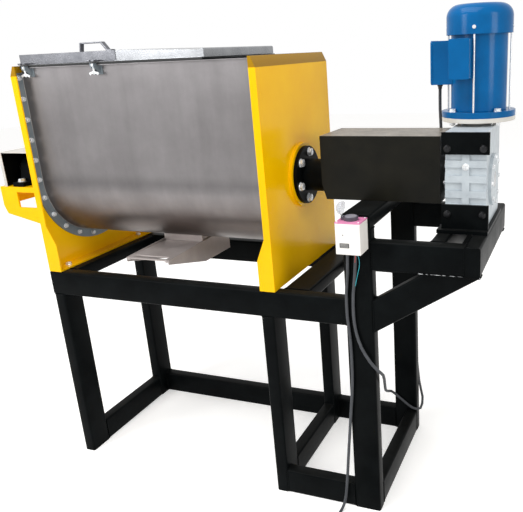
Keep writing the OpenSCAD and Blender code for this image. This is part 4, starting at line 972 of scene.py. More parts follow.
def spaced(line: np.ndarray, at: np.ndarray) -> np.ndarray:
    """Return the points of a line at given distances along it.

    Args:
        line: Points of the line, in order.
        at: Distances from its first point.

    Returns:
        One point for each distance.
    """
    travel = np.concatenate([[0.0], np.cumsum(np.linalg.norm(np.diff(line, axis=0), axis=1))])
    return np.stack([np.interp(at, travel, line[:, k]) for k in range(3)], 1)


def ring_of(sides: int, one: Sequence[float] | np.ndarray,
            two: Sequence[float] | np.ndarray) -> np.ndarray:
    """Return evenly spaced points round a full turn about the origin.

    Args:
        sides: Number of points.
        one: First point, or one for each of several rings.
        two: Point a quarter turn on, or one for each ring.

    Returns:
        The points of the ring or of each ring.
    """
    angle = np.linspace(0, FULL_TURN, sides, endpoint=False)[:, None]
    return np.cos(angle) * one + np.sin(angle) * two


def tube_grid(line: np.ndarray, radius: float | np.ndarray, sides: int) -> np.ndarray:
    """Sweep a circle along a line, with no twist.

    Each ring stands square to the mean heading of its two neighbours. Its first side direction is
    the one before it, less its part along the new heading.

    Args:
        line: Points of the centre line.
        radius: One radius, or one for each point.
        sides: Points on each ring.

    Returns:
        Grid of rings.
    """
    ahead = np.gradient(line, axis=0)
    ahead /= np.linalg.norm(ahead, axis=1)[:, None]
    side = np.empty_like(line)
    side[0] = np.cross(ahead[0], [1.0, 0.0, 0.2])
    side[0] /= np.linalg.norm(side[0])
    for i in range(1, len(line)):
        side[i] = side[i - 1] - ahead[i] * (side[i - 1] @ ahead[i])
        side[i] /= np.linalg.norm(side[i])
    other = np.cross(ahead, side)
    wide = np.broadcast_to(np.asarray(radius, float), (len(line),))[:, None, None]
    return line[:, None] + wide * ring_of(sides, side[:, None], other[:, None])


def axes_of(axis: str) -> tuple[np.ndarray, np.ndarray, np.ndarray]:
    """Return the direction of an axis and two directions square to it.

    Args:
        axis: One of x, y, z, or -x, -y, -z for the other way along it.

    Returns:
        The three directions.
    """
    number = "xyz".index(axis[-1])
    along = np.eye(3)[number] * (-1.0 if axis[0] == "-" else 1.0)
    one = np.eye(3)[(number + 1) % 3]
    return along, one, np.cross(along, one)


def turned(profile: Sequence[Sequence[float]], foot: Sequence[float], axis: str,
           sides: int) -> np.ndarray:
    """Turn a profile about an axis through a point.

    Row i is a circle of radius profile[i][1] at the distance profile[i][0] along the axis.

    Args:
        profile: Rows of distance and radius.
        foot: Point on the axis where the distance is zero.
        axis: One of x, y, z, or -x, -y, -z for the other way along it.
        sides: Points round the axis.

    Returns:
        Grid of rings.
    """
    along, one, two = axes_of(axis)
    rows = np.asarray(profile, float)[:, :, None]
    return np.asarray(foot, float) + rows[:, :1] * along + rows[:, 1:] * ring_of(sides, one, two)


def rounded_ring(wide: float, deep: float, radius: float, steps: int = 4) -> np.ndarray:
    """Return the outline of a rectangle with round corners, about the origin.

    Args:
        wide: Size along the first direction.
        deep: Size along the second direction.
        radius: Radius of the corners.
        steps: Facets in each corner.

    Returns:
        Points of the outline, two numbers each.
    """
    angle = np.linspace(0, math.pi / 2, steps + 1)
    corner = radius * np.stack([np.cos(angle), np.sin(angle)], 1)
    out = []
    for quarter, (sx, sy) in enumerate(((1, 1), (-1, 1), (-1, -1), (1, -1))):
        spin = np.array([[math.cos(quarter * math.pi / 2), math.sin(quarter * math.pi / 2)],
                         [-math.sin(quarter * math.pi / 2), math.cos(quarter * math.pi / 2)]])
        out.append(corner @ spin + [sx * (wide / 2 - radius), sy * (deep / 2 - radius)])
    return np.vstack(out)


def level_ring(outline: np.ndarray, axis: int, at: float) -> np.ndarray:
    """Lay a flat outline square to an axis.

    Args:
        outline: Points of two numbers, along the two axes that follow the given one in turn.
        axis: 0, 1 or 2 for X, Y or Z.
        at: Place along that axis.

    Returns:
        Points of three numbers.
    """
    ring = np.empty((len(outline), 3))
    ring[:, axis] = at
    ring[:, (axis + 1) % 3] = outline[:, 0]
    ring[:, (axis + 2) % 3] = outline[:, 1]
    return ring


def block_grid(low: Sequence[float], high: Sequence[float], axis: int, radius: float,
               ends: float = 0.0, steps: int = 4) -> np.ndarray:
    """Make a rounded bar that fills a box.

    Its section is a rectangle with round corners, and each end is drawn in by a small chamfer.

    Args:
        low: Lowest corner of the box.
        high: Highest corner.
        axis: 0, 1 or 2 for the bar's direction.
        radius: Radius of the section's corners.
        ends: Width of the chamfer at the ends, or 0.
        steps: Facets in each corner.

    Returns:
        Grid of rings.
    """
    low, high = np.asarray(low, float), np.asarray(high, float)
    one, two = (axis + 1) % 3, (axis + 2) % 3
    size = high - low
    middle = (high + low) / 2
    rows = [(low[axis], ends), (low[axis] + ends, 0.0), (high[axis] - ends, 0.0), (high[axis], ends)]
    if not ends:
        rows = rows[1:3]
    rings = []
    for at, inset in rows:
        wide, deep = size[one] - 2 * inset, size[two] - 2 * inset
        outline = rounded_ring(wide, deep, radius - 0.8 * inset, steps)
        rings.append(level_ring(outline + [middle[one], middle[two]], axis, at))
    return np.array(rings)


def bead_grid(loop: np.ndarray, normal: Sequence[float], radius: float, step: float = 1.7 * MM,
              drop: float = 5 * MM, sides: int = 6) -> np.ndarray:
    """Run a rippled weld bead round a flat closed loop.

    The bead's radius swells and sinks with every drop of metal, and slowly drifts by a tenth.

    Args:
        loop: Corners and curve points of the loop, in order.
        normal: Direction square to the loop's plane.
        radius: Mean radius of the bead.
        step: Distance between two rings.
        drop: Length that one drop of metal covers.
        sides: Points on each ring.

    Returns:
        Grid of rings that closes on itself.
    """
    closed = np.vstack([loop, loop[:1]])
    length = length_of(closed)
    at = np.linspace(0, length, max(12, int(length / step)), endpoint=False)
    line = spaced(closed, at)
    ahead = np.roll(line, -1, 0) - np.roll(line, 1, 0)
    ahead /= np.linalg.norm(ahead, axis=1)[:, None]
    one = np.broadcast_to(np.asarray(normal, float), line.shape)
    two = np.cross(ahead, one)
    phase = at / length * FULL_TURN
    ripple = 0.13 * np.sin(phase * max(1, round(length / drop)))
    drift = 0.1 * np.sin(phase * 3 + 1.3)
    wide = radius * (1 + ripple + drift)
    return line[:, None] + wide[:, None, None] * ring_of(sides, one[:, None], two[:, None])


@dataclass
class TubeFrame:
    """Welded frame of rectangular steel tube: legs, rails, floor rails, platform and braces.

    Each tube has corners rounded as cold-formed tube has, and a weld bead round each joined end.
    The bead's centre line is smaller than the tube's outline by the value sunk, so it lies half in
    the metal.
    """

    wide: float = 0.100
    thick: float = 0.050
    depth: float = 0.600
    corner: float = 0.008
    chamfer: float = 0.0008
    bead: float = 0.0026
    sunk: float = 0.0012
    left: float = -0.985
    mid: float = 0.025
    second_rail: float = 0.052
    drive: float = 0.305
    mid_beam: float = 0.590
    platform_end: float = 0.760
    rail_top: float = 0.850
    platform_top: float = 1.060
    leg_top: float = 1.100
    brace_deg: float = 32.5
    spatter_seed: int = 7
    spatter_drops: int = 22
    spatter_spread: float = 0.022
    spatter_margin: float = 0.01

    def make(self) -> None:
        """Make every tube, one piece for each CAD node, and the welds."""
        welds = Piece("weld_beads")
        for name, tubes in self._tubes().items():
            piece = Piece("welded_" + name)
            for low, high, axis, ends in tubes:
                chamfer = 0.0 if ends else self.chamfer
                piece.add_grid(block_grid(low, high, axis, self.corner, chamfer))
                self._weld(welds, low, high, axis, ends)
            piece.make(FRAME_ENAMEL, "frame_paint", (name,), smooth_deg=40)
        self._braces(welds)
        self._spatter(welds)
        welds.make(FRAME_ENAMEL, "frame_paint", smooth_deg=60)

    def _tubes(self) -> dict[str, list[tuple]]:
        """Lay out the tubes.

        Returns:
            For each CAD node its tubes: the lowest and the highest corner, the direction as 0, 1 or
            2, and the welded ends, l for the low one and h for the high one.
        """
        half, thick, wide = self.depth / 2, self.thick, self.wide
        drive_end = self.drive + wide
        rail_low, low, top = self.rail_top - wide, self.platform_top - wide, self.platform_top
        floor_rails = [
            ((self.left + thick, half - thick, 0), (-self.mid, half, wide), 0, "lh"),
            ((drive_end - thick, -half + thick, 0), (drive_end, half - thick, wide), 1, "lh"),
        ]
        found: dict[str, list[tuple]] = {
            "trough_legs": [], "drive_legs": [], "long_rails": [], "cross_rails": [],
            "floor_rails": floor_rails, "platform_beams": [], "saddle_beam": [],
        }
        for side in (-1, 1):
            near, far = (-half, -half + thick) if side < 0 else (half - thick, half)
            deep = (-half, -half + wide) if side < 0 else (half - wide, half)
            for x in (self.left, -self.mid):
                found["trough_legs"].append(((x, deep[0], 0), (x + thick, deep[1], rail_low), 2, "h"))
            found["drive_legs"].append(((self.drive, near, 0), (drive_end, far, self.leg_top), 2, "h"))
            found["long_rails"].append(
                ((self.left, near, rail_low), (self.drive, far, self.rail_top), 0, "h"))
            floor_rails.append(((self.mid, near, 0), (self.drive, far, wide), 0, "lh"))
            found["platform_beams"].append(
                ((drive_end, near, low), (self.platform_end - thick, far, top), 0, "lh"))
        for x in (self.left, -self.mid):
            floor_rails.append(((x, -half + wide, 0), (x + thick, half - wide, wide), 1, "lh"))
        for x in (self.left, self.second_rail):
            found["cross_rails"].append(((x, -half + thick, self.rail_top - thick),
                                         (x + wide, half - thick, self.rail_top), 1, "lh"))
        found["platform_beams"] += [
            ((self.platform_end - thick, -half, low), (self.platform_end, half, top), 1, ""),
            ((self.mid_beam, -half + thick, low), (self.mid_beam + thick, half - thick, top), 1, "lh"),
        ]
        found["saddle_beam"].append(
            ((self.drive, -half, self.leg_top), (drive_end, half, self.leg_top + thick), 1, ""))
        return found

    def _weld(self, welds: Piece, low: Sequence[float], high: Sequence[float], axis: int,
              ends: str) -> None:
        """Run a bead round each welded end of one tube, clear of the floor.

        Args:
            welds: Piece that gathers the beads.
            low: Lowest corner of the tube.
            high: Highest corner.
            axis: 0, 1 or 2 for its direction.
            ends: Its welded ends, l for the low one and h for the high one.
        """
        one, two = (axis + 1) % 3, (axis + 2) % 3
        outline = rounded_ring(high[one] - low[one] - self.sunk, high[two] - low[two] - self.sunk,
                               self.corner, 5)
        outline = outline + [(high[one] + low[one]) / 2, (high[two] + low[two]) / 2]
        for end, at in (("l", low[axis] + self.chamfer), ("h", high[axis] - self.chamfer)):
            if end in ends:
                grid = bead_grid(level_ring(outline, axis, at), np.eye(3)[axis], self.bead)
                grid[:, :, 2] = np.maximum(grid[:, :, 2], 0.3 * MM)
                welds.add_grid(grid, loop=True)

    def _braces(self, welds: Piece) -> None:
        """Make the two sloping braces, cut to the leg's face and the platform's underside.

        Args:
            welds: Piece that gathers the beads.
        """
        piece = Piece("welded_platform_braces")
        slope = math.radians(self.brace_deg)
        along = np.array([math.cos(slope), 0.0, math.sin(slope)])
        above = np.array([-math.sin(slope), 0.0, math.cos(slope)])
        leg, under = self.drive + self.wide, self.platform_top - self.wide
        run = self.platform_end - leg - self.wide / math.sin(slope)
        outline = rounded_ring(self.wide, self.thick, self.corner)
        for side in (-1, 1):
            centre = np.array([leg + run, side * (self.depth - self.thick) / 2, under])
            centre = centre - above * self.wide / 2
            ring = centre + outline[:, :1] * above + outline[:, 1:] * np.array([0.0, 1.0, 0.0])
            low = ring + ((leg - ring[:, 0]) / along[0])[:, None] * along
            high = ring + ((under - ring[:, 2]) / along[2])[:, None] * along
            piece.add_grid(np.array([low, high]))
            welds.add_grid(bead_grid(low + MM * along, (1, 0, 0), self.bead), loop=True)
            welds.add_grid(bead_grid(high - MM * along, (0, 0, 1), self.bead), loop=True)
        piece.make(FRAME_ENAMEL, "frame_paint", ("platform_braces",), smooth_deg=40)

    def _spatter(self, welds: Piece) -> None:
        """Scatter drops of weld spatter on the outer faces round the front and back joints.

        Args:
            welds: Piece that gathers the drops.
        """
        chance = np.random.default_rng(self.spatter_seed)
        profile = np.array([[-0.0006, 1.0], [0.0002, 0.9], [0.0007, 0.5]])
        joints = (
            (self.drive + 0.085, 0.78), (self.drive + self.wide - 0.02, 0.95),
            (0.30, 0.80), (0.66, 0.955),
        )
        for side, axis in ((-1, "-y"), (1, "y")):
            for x, z in joints:
                for _ in range(self.spatter_drops):
                    away = chance.normal(0, self.spatter_spread, 2)
                    size = chance.uniform(0.6 * MM, 1.3 * MM)
                    foot = (x + away[0], side * self.depth / 2, z + away[1])
                    if self._on_tube(foot):
                        welds.add_grid(turned(profile * [1.0, size], foot, axis, sides=6))

    def _on_tube(self, at: Sequence[float]) -> bool:
        """Say whether a point of the front or back face lies on a leg, rail or beam.

        Args:
            at: The point.

        Returns:
            Whether it lies on one, clear of its edges.
        """
        x, _, z = at
        margin, drive_end = self.spatter_margin, self.drive + self.wide
        on_leg = self.drive + margin < x < drive_end - margin and z < self.leg_top
        on_rail = x < self.drive and self.rail_top - self.wide + margin < z < self.rail_top - margin
        on_beam = x > drive_end and margin < z - (self.platform_top - self.wide) < self.wide - margin
        return on_leg or on_rail or on_beam


@dataclass(frozen=True)
class Bolt:
    """One hexagon bolt with its washer, and a nut and a bare thread end where it has one.

    The head's radius at each angle and height is the smaller of the hexagon's and that of a 30
    degree cone. The values from corner to end are shares of the diameter.
    """

    diameter: float
    grip: float
    nut: bool = False
    sides: int = 24
    corner: float = 0.925
    head: float = 0.65
    nut_height: float = 0.8
    washer: float = 0.16
    washer_radius: float = 1.02
    end: float = 1.0
    turns: int = 7

    def add_to(self, piece: Piece, at: Sequence[float], axis: str) -> None:
        """Add the bolt to a piece.

        Args:
            piece: Piece that gathers the surfaces.
            at: Centre of the washer's underside.
            axis: Direction in which the head points, such as x or -x.
        """
        d, washer, wide = self.diameter, self.washer * self.diameter, self.washer_radius * self.diameter
        profile = [[0.0, 0.5 * d], [0.0, wide], [washer * 0.7, wide], [washer, wide - 0.05 * d],
                   [washer, 0.5 * d]]
        piece.add_grid(turned(profile, at, axis, self.sides))
        self._hexagon(piece, at, axis, washer, self.head * d)
        if self.nut:
            self._hexagon(piece, at, axis, -self.grip, -self.nut_height * d)
            end = -self.grip - self.end * d
            steps = np.linspace(-self.grip - 0.7 * d, end, 2 * self.turns + 1)
            thread = [[step, d * (0.5 if i % 2 else 0.445)] for i, step in enumerate(steps)]
            piece.add_grid(turned([[end, 0.38 * d]] + thread[::-1], at, axis, sides=16))
        else:
            shank = [[-self.grip, 0.46 * d], [-self.grip + 0.1 * d, 0.5 * d], [washer, 0.5 * d]]
            piece.add_grid(turned(shank, at, axis, sides=16))

    def _hexagon(self, piece: Piece, at: Sequence[float], axis: str, start: float,
                 rise: float) -> None:
        """Add a hexagon whose far side is chamfered.

        Args:
            piece: Piece that gathers the surfaces.
            at: Centre of the washer's underside.
            axis: Direction in which the head points.
            start: Distance of its near side along that direction.
            rise: Its height, below zero where it points the other way.
        """
        flat = self.diameter * self.corner * math.cos(math.pi / 6)
        angle = np.linspace(0, FULL_TURN, self.sides, endpoint=False)
        edge = flat / np.cos(np.mod(angle, math.pi / 3) - math.pi / 6)
        heights = np.array([0.0, 0.72, 0.86, 0.95, 1.0])
        cone = flat * 0.93 + abs(rise) * (1 - heights) * 1.75
        along, one, two = axes_of(axis)
        radius = np.minimum(edge, cone[:, None])[:, :, None]
        level = (start + rise * heights)[:, None, None] * along
        piece.add_grid(np.asarray(at, float) + level + radius * ring_of(self.sides, one, two))


@dataclass
class Fasteners:
    """The bolts of the trough's flanges, the feet, the seals and the gearbox."""

    shaft_z: float = 1.215
    left: float = -0.985
    right: float = 0.040
    flange_stack: float = 0.012
    flange_radius: float = 0.274
    flange_first: float = 0.008
    flange_top: float = 1.6105
    flange_rows: int = 6
    arc_bolts: int = 10
    arc_deg: float = 16.9
    foot_y: tuple[float, float] = (0.225, 0.275)
    foot_inset: float = 0.030
    foot_z: float = 0.856
    bearing_foot: Vec = (-1.273, 0.0855, 1.170)
    drive_seal: float = 0.026
    blind_seal: float = 0.014
    gearbox_mid: float = 0.6805
    gearbox_front: float = -0.128
    gearbox_low: float = 1.072
    gearbox_high: float = 1.391
    gearbox_back_y: float = 0.110

    def make(self) -> None:
        """Make one piece of bolts for each CAD node of them."""
        self._flange_bolts()
        self._foot_bolts()
        self._seal_bolts()
        self._gearbox_bolts()

    def round_spots(self, count: int, pcd: float, turn: float = 0.0) -> list[tuple[float, float]]:
        """Place bolts evenly on a circle about the shaft.

        Args:
            count: Number of bolts.
            pcd: Diameter of the circle.
            turn: Angle of the first, in degrees from +Y.

        Returns:
            Y and Z of each.
        """
        angles = [math.radians(turn + 360 * i / count) for i in range(count)]
        return [(pcd / 2 * math.cos(a), self.shaft_z + pcd / 2 * math.sin(a)) for a in angles]

    def flange_spots(self) -> list[tuple[float, float]]:
        """Place the bolts of one trough flange: up both straight sides and round the arc below.

        Returns:
            Y and Z of each.
        """
        radius = self.flange_radius
        rise = np.linspace(self.flange_first, self.flange_top - self.shaft_z, self.flange_rows)
        turns = np.radians((np.arange(self.arc_bolts) - (self.arc_bolts - 1) / 2) * self.arc_deg)
        return [(side * radius, self.shaft_z + up) for side in (-1, 1) for up in rise] + [
            (radius * math.sin(a), self.shaft_z - radius * math.cos(a)) for a in turns]

    def _flange_bolts(self) -> None:
        """Make the flange bolts' heads, and the ground weld plugs on the plates' outer faces."""
        piece = Piece("flange_hex_bolts")
        plugs = Piece("flange_weld_plugs")
        bolt = Bolt(diameter=0.010, grip=0.008, sides=18)
        dressed = [[-0.0030, 0.0050], [0.0, 0.0056], [0.00015, 0.0064], [0.0003, 0.0058]]
        for y, z in self.flange_spots():
            bolt.add_to(piece, (self.left + self.flange_stack, y, z), "x")
            bolt.add_to(piece, (self.right - self.flange_stack, y, z), "-x")
            plugs.add_grid(turned(dressed, (self.left, y, z), "-x", sides=24))
            plugs.add_grid(turned(dressed, (self.right, y, z), "x", sides=24))
        piece.make(ZINC, "zinc", ("flange_bolts",), smooth_deg=30)
        plugs.make(YELLOW_ENAMEL, "yellow_paint", smooth_deg=60)

    def _foot_bolts(self) -> None:
        """Make the bolts of the end plates' feet and of the pillow block."""
        piece = Piece("foot_hex_bolts")
        feet = ((self.left + self.foot_inset, self.foot_y[0]),
                (self.right - self.foot_inset, self.foot_y[1]))
        bearing_x, bearing_y, bearing_z = self.bearing_foot
        plate_bolt = Bolt(diameter=0.012, grip=0.010, nut=True)
        bearing_bolt = Bolt(diameter=0.016, grip=0.027, nut=True)
        for side in (-1, 1):
            for x, y in feet:
                plate_bolt.add_to(piece, (x, side * y, self.foot_z), "z")
            bearing_bolt.add_to(piece, (bearing_x, side * bearing_y, bearing_z), "z")
        piece.make(ZINC, "zinc", ("foot_bolts",), smooth_deg=30)

    def _seal_bolts(self) -> None:
        """Make the bolts of the shaft seals, six at the drive end and four at the other."""
        piece = Piece("seal_hex_bolts")
        for y, z in self.round_spots(6, pcd=0.170, turn=80):
            Bolt(diameter=0.016, grip=0.032).add_to(piece, (self.right + self.drive_seal, y, z), "x")
        for y, z in self.round_spots(4, pcd=0.098, turn=45):
            Bolt(diameter=0.008, grip=0.020).add_to(piece, (self.left - self.blind_seal, y, z), "-x")
        piece.make(ZINC, "zinc", ("seal_bolts",), smooth_deg=30)

    def _gearbox_bolts(self) -> None:
        """Make the gearbox's front and cover bolts, its top studs and its oil plug."""
        piece = Piece("gearbox_hex_bolts")
        dark = Piece("gearbox_plate_bolts")
        mid, front, low = self.gearbox_mid, self.gearbox_front, self.gearbox_low
        tall = self.gearbox_high - low
        column, cover, washer_face = 0.058125, 0.0775, 0.012
        stud = [[0.0, 0.005], [0.012, 0.005]]
        reach = 0.77 * 0.0675
        for side, axis in ((-1, "-x"), (1, "x")):
            for share in (0.838, 0.16):
                spot = (mid + side * column, front - washer_face, low + tall * share)
                Bolt(diameter=0.012, grip=0.036).add_to(dark, spot, "-y")
            for y, z in self.round_spots(8, pcd=0.152):
                Bolt(diameter=0.008, grip=0.010).add_to(piece, (mid + side * cover, y, z), axis)
            for way in (-1, 1):
                spot = (mid + side * reach, self.gearbox_back_y + way * reach * 0.77, self.gearbox_high)
                piece.add_grid(turned(stud, spot, "z", sides=20))
        plug = [
            [-0.005, 0.0110], [0.0, 0.0110], [0.0, 0.0115], [0.0022, 0.0115], [0.0028, 0.0108],
            [0.0028, 0.0080], [0.0034, 0.0074], [0.0046, 0.0072], [0.0050, 0.0066], [0.0050, 0.0040],
            [0.0030, 0.0034], [0.0030, 0.0006],
        ]
        piece.add_grid(turned(plug, (mid, front, low + tall * 0.648), "-y", sides=40))
        piece.make(ZINC, "zinc", ("gearbox_bolts",), smooth_deg=30)
        dark.make(BLACK_OXIDE, "black_plastic", smooth_deg=30)


# CAD nodes whose shape is kept, by finish, each with the width in mm of its rounded edges
CARRIED: dict[Finish, dict[str, float]] = {
    YELLOW_ENAMEL: {"left_end_plate": 1.2, "right_end_plate": 1.2, "bearing_bracket": 1.5},
    TROUGH_STEEL: {"trough_shell": 0.0},
    FLANGE_STEEL: {"trough_flanges": 0.8, "lid_fittings": 0.8},
    FRAME_ENAMEL: {
        "pillow_block": 2.5, "seal_housings": 1.5, "gearbox_brackets": 1.5, "deck_plate": 1.5,
        "shaft_coupling": 1.5,
    },
    GREY_PAINT: {"bearing_hood": 1.0, "motor_adapter": 1.5},
    GUARD_ENAMEL: {"drive_guard": 2.0},
    CAST_PAINT: {"gearbox_housing": 2.0},
    MOTOR_ENAMEL: {
        "motor_flange": 2.0, "motor_frame": 1.5, "fan_cowl": 0.0, "terminal_box": 2.0,
        "capacitor_box": 2.0,
    },
    CORE_STEEL: {"stator": 0.0},
    ZINC: {"tie_rods": 0.5, "swing_bolt_left": 0.6, "swing_bolt_right": 0.6},
    SPOUT_STEEL: {"discharge_neck": 0.8, "discharge_spout": 0.8, "gate_plate": 1.0},
    WHITE_ABS: {"control_box": 3.0},
    PINK_ABS: {"control_box_top": 0.9},
    BLACK_NYLON: {"cable_glands": 0.8, "fan": 0.8},
    SEAL_RUBBER: {"rim_seals": 1.0},
    SHAFT_STEEL: {"main_shaft": 1.0, "drive_shaft": 1.0, "rotor": 0.0},
    RIBBON_STEEL: {"ribbon_arms": 0.0, "outer_ribbons": 0.0, "inner_ribbons": 0.0},
    BRONZE: {"worm_wheel": 0.0},
    LID_STEEL: {"lid": 1.0, "lid_hardware": 1.0},
    COVER_STEEL: {"feed_cover": 1.0},
    CLEAR_PC: {"button_guard": 0.0},
}

# Profile of a pan head screw: distance from its seat, and radius
PAN_HEAD = np.array([
    [-0.0004, 0.0040], [0.0006, 0.0041], [0.0014, 0.0038], [0.0021, 0.0028], [0.0023, 0.0014],
    [0.0017, 0.0011], [0.0014, 0.0004],
])


@dataclass
class CarriedOver:
    """CAD nodes whose shape is kept: each gets its finish and rounded edges."""

    smooth_deg: float = 30.0

    def make(self, nodes: dict[str, bpy.types.Object]) -> None:
        """Dress the nodes that no piece replaces.

        Args:
            nodes: The frame's CAD objects by name.
        """
        for finish, widths in CARRIED.items():
            for name, edge_mm in widths.items():
                dress(nodes[name], finish, self.smooth_deg)
                if edge_mm:
                    round_edges(nodes[name], edge_mm)
                LOG.info("%s: CAD shape with %s", name, finish.name)


@dataclass
class Details:
    """Small parts and seams that stand on the carried-over shapes."""

    terminal_cover: Box = ((0.5225, 0.0590, 1.5260), (0.5315, 0.1610, 1.6720))
    terminal_screws: tuple[tuple[float, float], ...] = (
        (0.071, 1.538), (0.071, 1.660), (0.149, 1.538), (0.149, 1.660),
    )
    capacitor_cover: Box = ((0.6065, -0.0487, 1.5480), (0.6745, -0.0410, 1.6749))
    rating_patch: Box = ((0.6190, -0.0300, 1.6739), (0.6580, -0.0080, 1.6744))
    box_screws: tuple[tuple[float, float], ...] = (
        (0.3190, -0.3700), (0.3190, -0.3060), (0.3910, -0.3700), (0.3910, -0.3060),
    )
    strip: Box = ((0.3270, -0.3765, 1.0590), (0.3590, -0.3758, 1.0740))
    strip_lines: Box = ((0.3295, -0.3767, -0.0007), (0.3565, -0.3763, 0.0007))
    strip_lines_z: Vec = (1.0625, 1.0665, 1.0705)
    lamp_dot: Vec = (0.3390, -0.3760, 1.1010)
    shaft_z: float = 1.215
    box_top: float = 1.142
    button_place: tuple[float, float] = (0.355, -0.338)
    flake_seed: int = 5
    flakes_from: float = 0.560
    flakes_to: float = 0.745
    flakes_edge: tuple[float, float] = (-0.2979, 0.9621)
    boss_face: float = 0.0406
    boss_radius: float = 0.1206
    trough_radius: float = 0.2562
    trough_ends: tuple[float, float] = (-0.9728, 0.0278)
    trough_rim: float = 1.640
    hood_low: tuple[float, float] = (-1.3455, -0.1095)
    hood_high: Vec = (-0.9975, 0.1105, 1.2985)
    hood_middle: Vec = (-1.1715, 0.0, 1.2)

    def make(self, nodes: dict[str, bpy.types.Object]) -> None:
        """Make the details of each sub-assembly.

        Args:
            nodes: The frame's CAD objects by name.
        """
        self._motor()
        self._control_box()
        self._sheet_welds()
        self._edge_chips()
        self._button_cap()
        self._hood_inside_shade(nodes["bearing_hood"])
        self._collar(nodes["control_box_top"])

    def _motor(self) -> None:
        """Add the covers of the terminal and capacitor boxes, their screws and a blank patch."""
        piece = Piece("motor_box_covers")
        piece.add_grid(block_grid(*self.terminal_cover, axis=0, radius=11 * MM, ends=1.2 * MM, steps=6))
        piece.add_grid(block_grid(*self.capacitor_cover, axis=1, radius=6 * MM, ends=1.2 * MM, steps=6))
        piece.make(MOTOR_ENAMEL, "motor_blue")
        screws = Piece("motor_box_screws")
        for place in self.terminal_screws:
            screws.add_grid(turned(PAN_HEAD, (self.terminal_cover[0][0], *place), "-x", sides=16))
        screws.make(ZINC, "zinc", smooth_deg=40)
        patch = Piece("blank_rating_patch")
        patch.add_grid(block_grid(*self.rating_patch, axis=2, radius=2 * MM, ends=0.1 * MM, steps=3))
        patch.make(GREY_PAINT, "grey_paint")

    def _button_cap(self) -> None:
        """Turn the push button: a stem through the box top and a cap with a shallow dish."""
        piece = Piece("push_button_cap", "button")
        profile = [
            [-0.0138, 0.0070], [-0.0130, 0.0078], [0.0052, 0.0078], [0.0052, 0.0188], [0.0060, 0.0196],
            [0.0128, 0.0196], [0.0138, 0.0190], [0.0142, 0.0180], [0.0140, 0.0160], [0.0134, 0.0110],
            [0.0131, 0.0050], [0.0130, 0.0010],
        ]
        piece.add_grid(turned(profile, (*self.button_place, self.box_top), "z", sides=48))
        piece.make(GREY_ABS, "grey_plastic", ("push_button",))

    def _edge_chips(self) -> None:
        """Add the bare flakes along the lower front edge of the platform beam."""
        piece = Piece("bare_edge_flakes")
        draw = np.random.default_rng(self.flake_seed)
        place = self.flakes_from
        while place < self.flakes_to:
            length = draw.uniform(5 * MM, 22 * MM)
            thick = draw.uniform(0.6 * MM, 1.3 * MM)
            flake = np.array([[0.0, 0.2], [0.3, 1.0], [0.7, 0.8], [1.0, 0.2]]) * [length, thick]
            piece.add_grid(turned(flake, (place, *self.flakes_edge), "x", sides=8))
            place += length + draw.uniform(1 * MM, 12 * MM)
        piece.make(ZINC, "zinc", smooth_deg=60)

    def _control_box(self) -> None:
        """Add the screws, the blank strip with its pale lines and the lamp dot of the control box."""
        screws = Piece("box_top_screws")
        for place in self.box_screws:
            screws.add_grid(turned(PAN_HEAD * [1.0, 0.7], (*place, self.box_top), "z", sides=16))
        screws.make(ZINC, "zinc", smooth_deg=40)
        strip = Piece("blank_dark_strip")
        strip.add_grid(block_grid(*self.strip, axis=1, radius=1 * MM, ends=0.2 * MM, steps=3))
        strip.add_grid(turned(PAN_HEAD * [0.3, 0.45], self.lamp_dot, "-y", sides=16))
        strip.make(BLACK_NYLON, "black_plastic")
        lines = Piece("strip_pale_lines")
        for z in self.strip_lines_z:
            low, high = np.array(self.strip_lines) + [0.0, 0.0, z]
            lines.add_grid(block_grid(low, high, axis=1, radius=0.3 * MM, steps=2))
        lines.make(GREY_PAINT, "grey_paint")

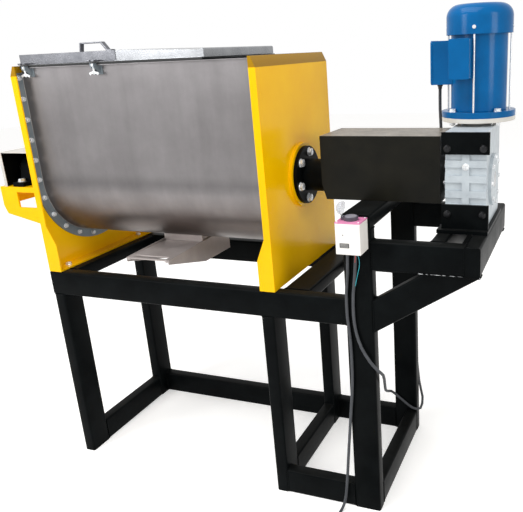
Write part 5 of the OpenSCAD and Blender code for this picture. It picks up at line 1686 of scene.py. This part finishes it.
    def _sheet_welds(self) -> None:
        """Run beads round the boss of the right plate and along the trough's end flanges."""
        yellow = Piece("boss_weld")
        ring = ring_of(120, (0.0, self.boss_radius, 0.0), (0.0, 0.0, self.boss_radius))
        ring += [self.boss_face, 0.0, self.shaft_z]
        yellow.add_grid(bead_grid(ring, (1, 0, 0), 2.2 * MM), loop=True)
        yellow.make(YELLOW_ENAMEL, "yellow_paint", smooth_deg=60)
        steel = Piece("trough_flange_welds")
        bead, step, drop = 1.6 * MM, 1.8 * MM, 4.5 * MM
        half, radius = np.linspace(0, math.pi, 60), self.trough_radius
        across, up = -radius * np.cos(half), self.shaft_z - radius * np.sin(half)
        for x in self.trough_ends:
            arc = np.stack([np.full(len(half), x), across, up], 1)
            line = np.vstack([[[x, -radius, self.trough_rim]], arc, [[x, radius, self.trough_rim]]])
            at = np.arange(0, length_of(line), step)
            wide = bead * (1 + 0.15 * np.sin(at / drop * FULL_TURN))
            steel.add_grid(tube_grid(spaced(line, at), wide, 6))
        steel.make(RIBBON_STEEL, "stainless", smooth_deg=60)

    @staticmethod
    def _faces(mesh: bpy.types.Mesh, what: str) -> np.ndarray:
        """Read one direction or place of each face.

        Args:
            mesh: Mesh to read.
            what: The value's name, center or normal.

        Returns:
            Array of faces x 3.
        """
        found = np.empty(len(mesh.polygons) * 3)
        mesh.polygons.foreach_get(what, found)
        return found.reshape(-1, 3)

    def _hood_inside_shade(self, hood: bpy.types.Object) -> None:
        """Paint the inside of the bearing hood black, as painted shade in the frame's black enamel.

        Args:
            hood: The CAD object of the hood.
        """
        centres = self._faces(hood.data, "center")
        inward = np.einsum("ij,ij->i", self._faces(hood.data, "normal"), self.hood_middle - centres) > 0
        inside = (centres < self.hood_high).all(1) & (centres[:, :2] > self.hood_low).all(1)
        # Painted shade: the frame's black enamel on the inward faces inside the hood
        hood.data.materials.append(FRAME_ENAMEL.material())
        hood.data.polygons.foreach_set("material_index", (inward & inside).astype(np.int32))

    def _collar(self, top: bpy.types.Object) -> None:
        """Make the button's collar grey, on the pink top of the control box.

        Args:
            top: The CAD object of the box top.
        """
        raised = self._faces(top.data, "center")[:, 2] > self.box_top + 0.05 * MM
        top.data.materials.append(COLLAR_ABS.material())
        top.data.polygons.foreach_set("material_index", raised.astype(np.int32))


def main() -> None:
    """Load the frame, make every piece over it and finish the scene."""
    logging.basicConfig(level=logging.INFO, format="%(name)s: %(message)s")
    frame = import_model()
    Viewpoint().make()
    Cords().make()
    Studio().make()
    TubeFrame().make()
    Fasteners().make()
    CarriedOver().make(frame["nodes"])
    Details().make(frame["nodes"])


if __name__ == "__main__":
    main()
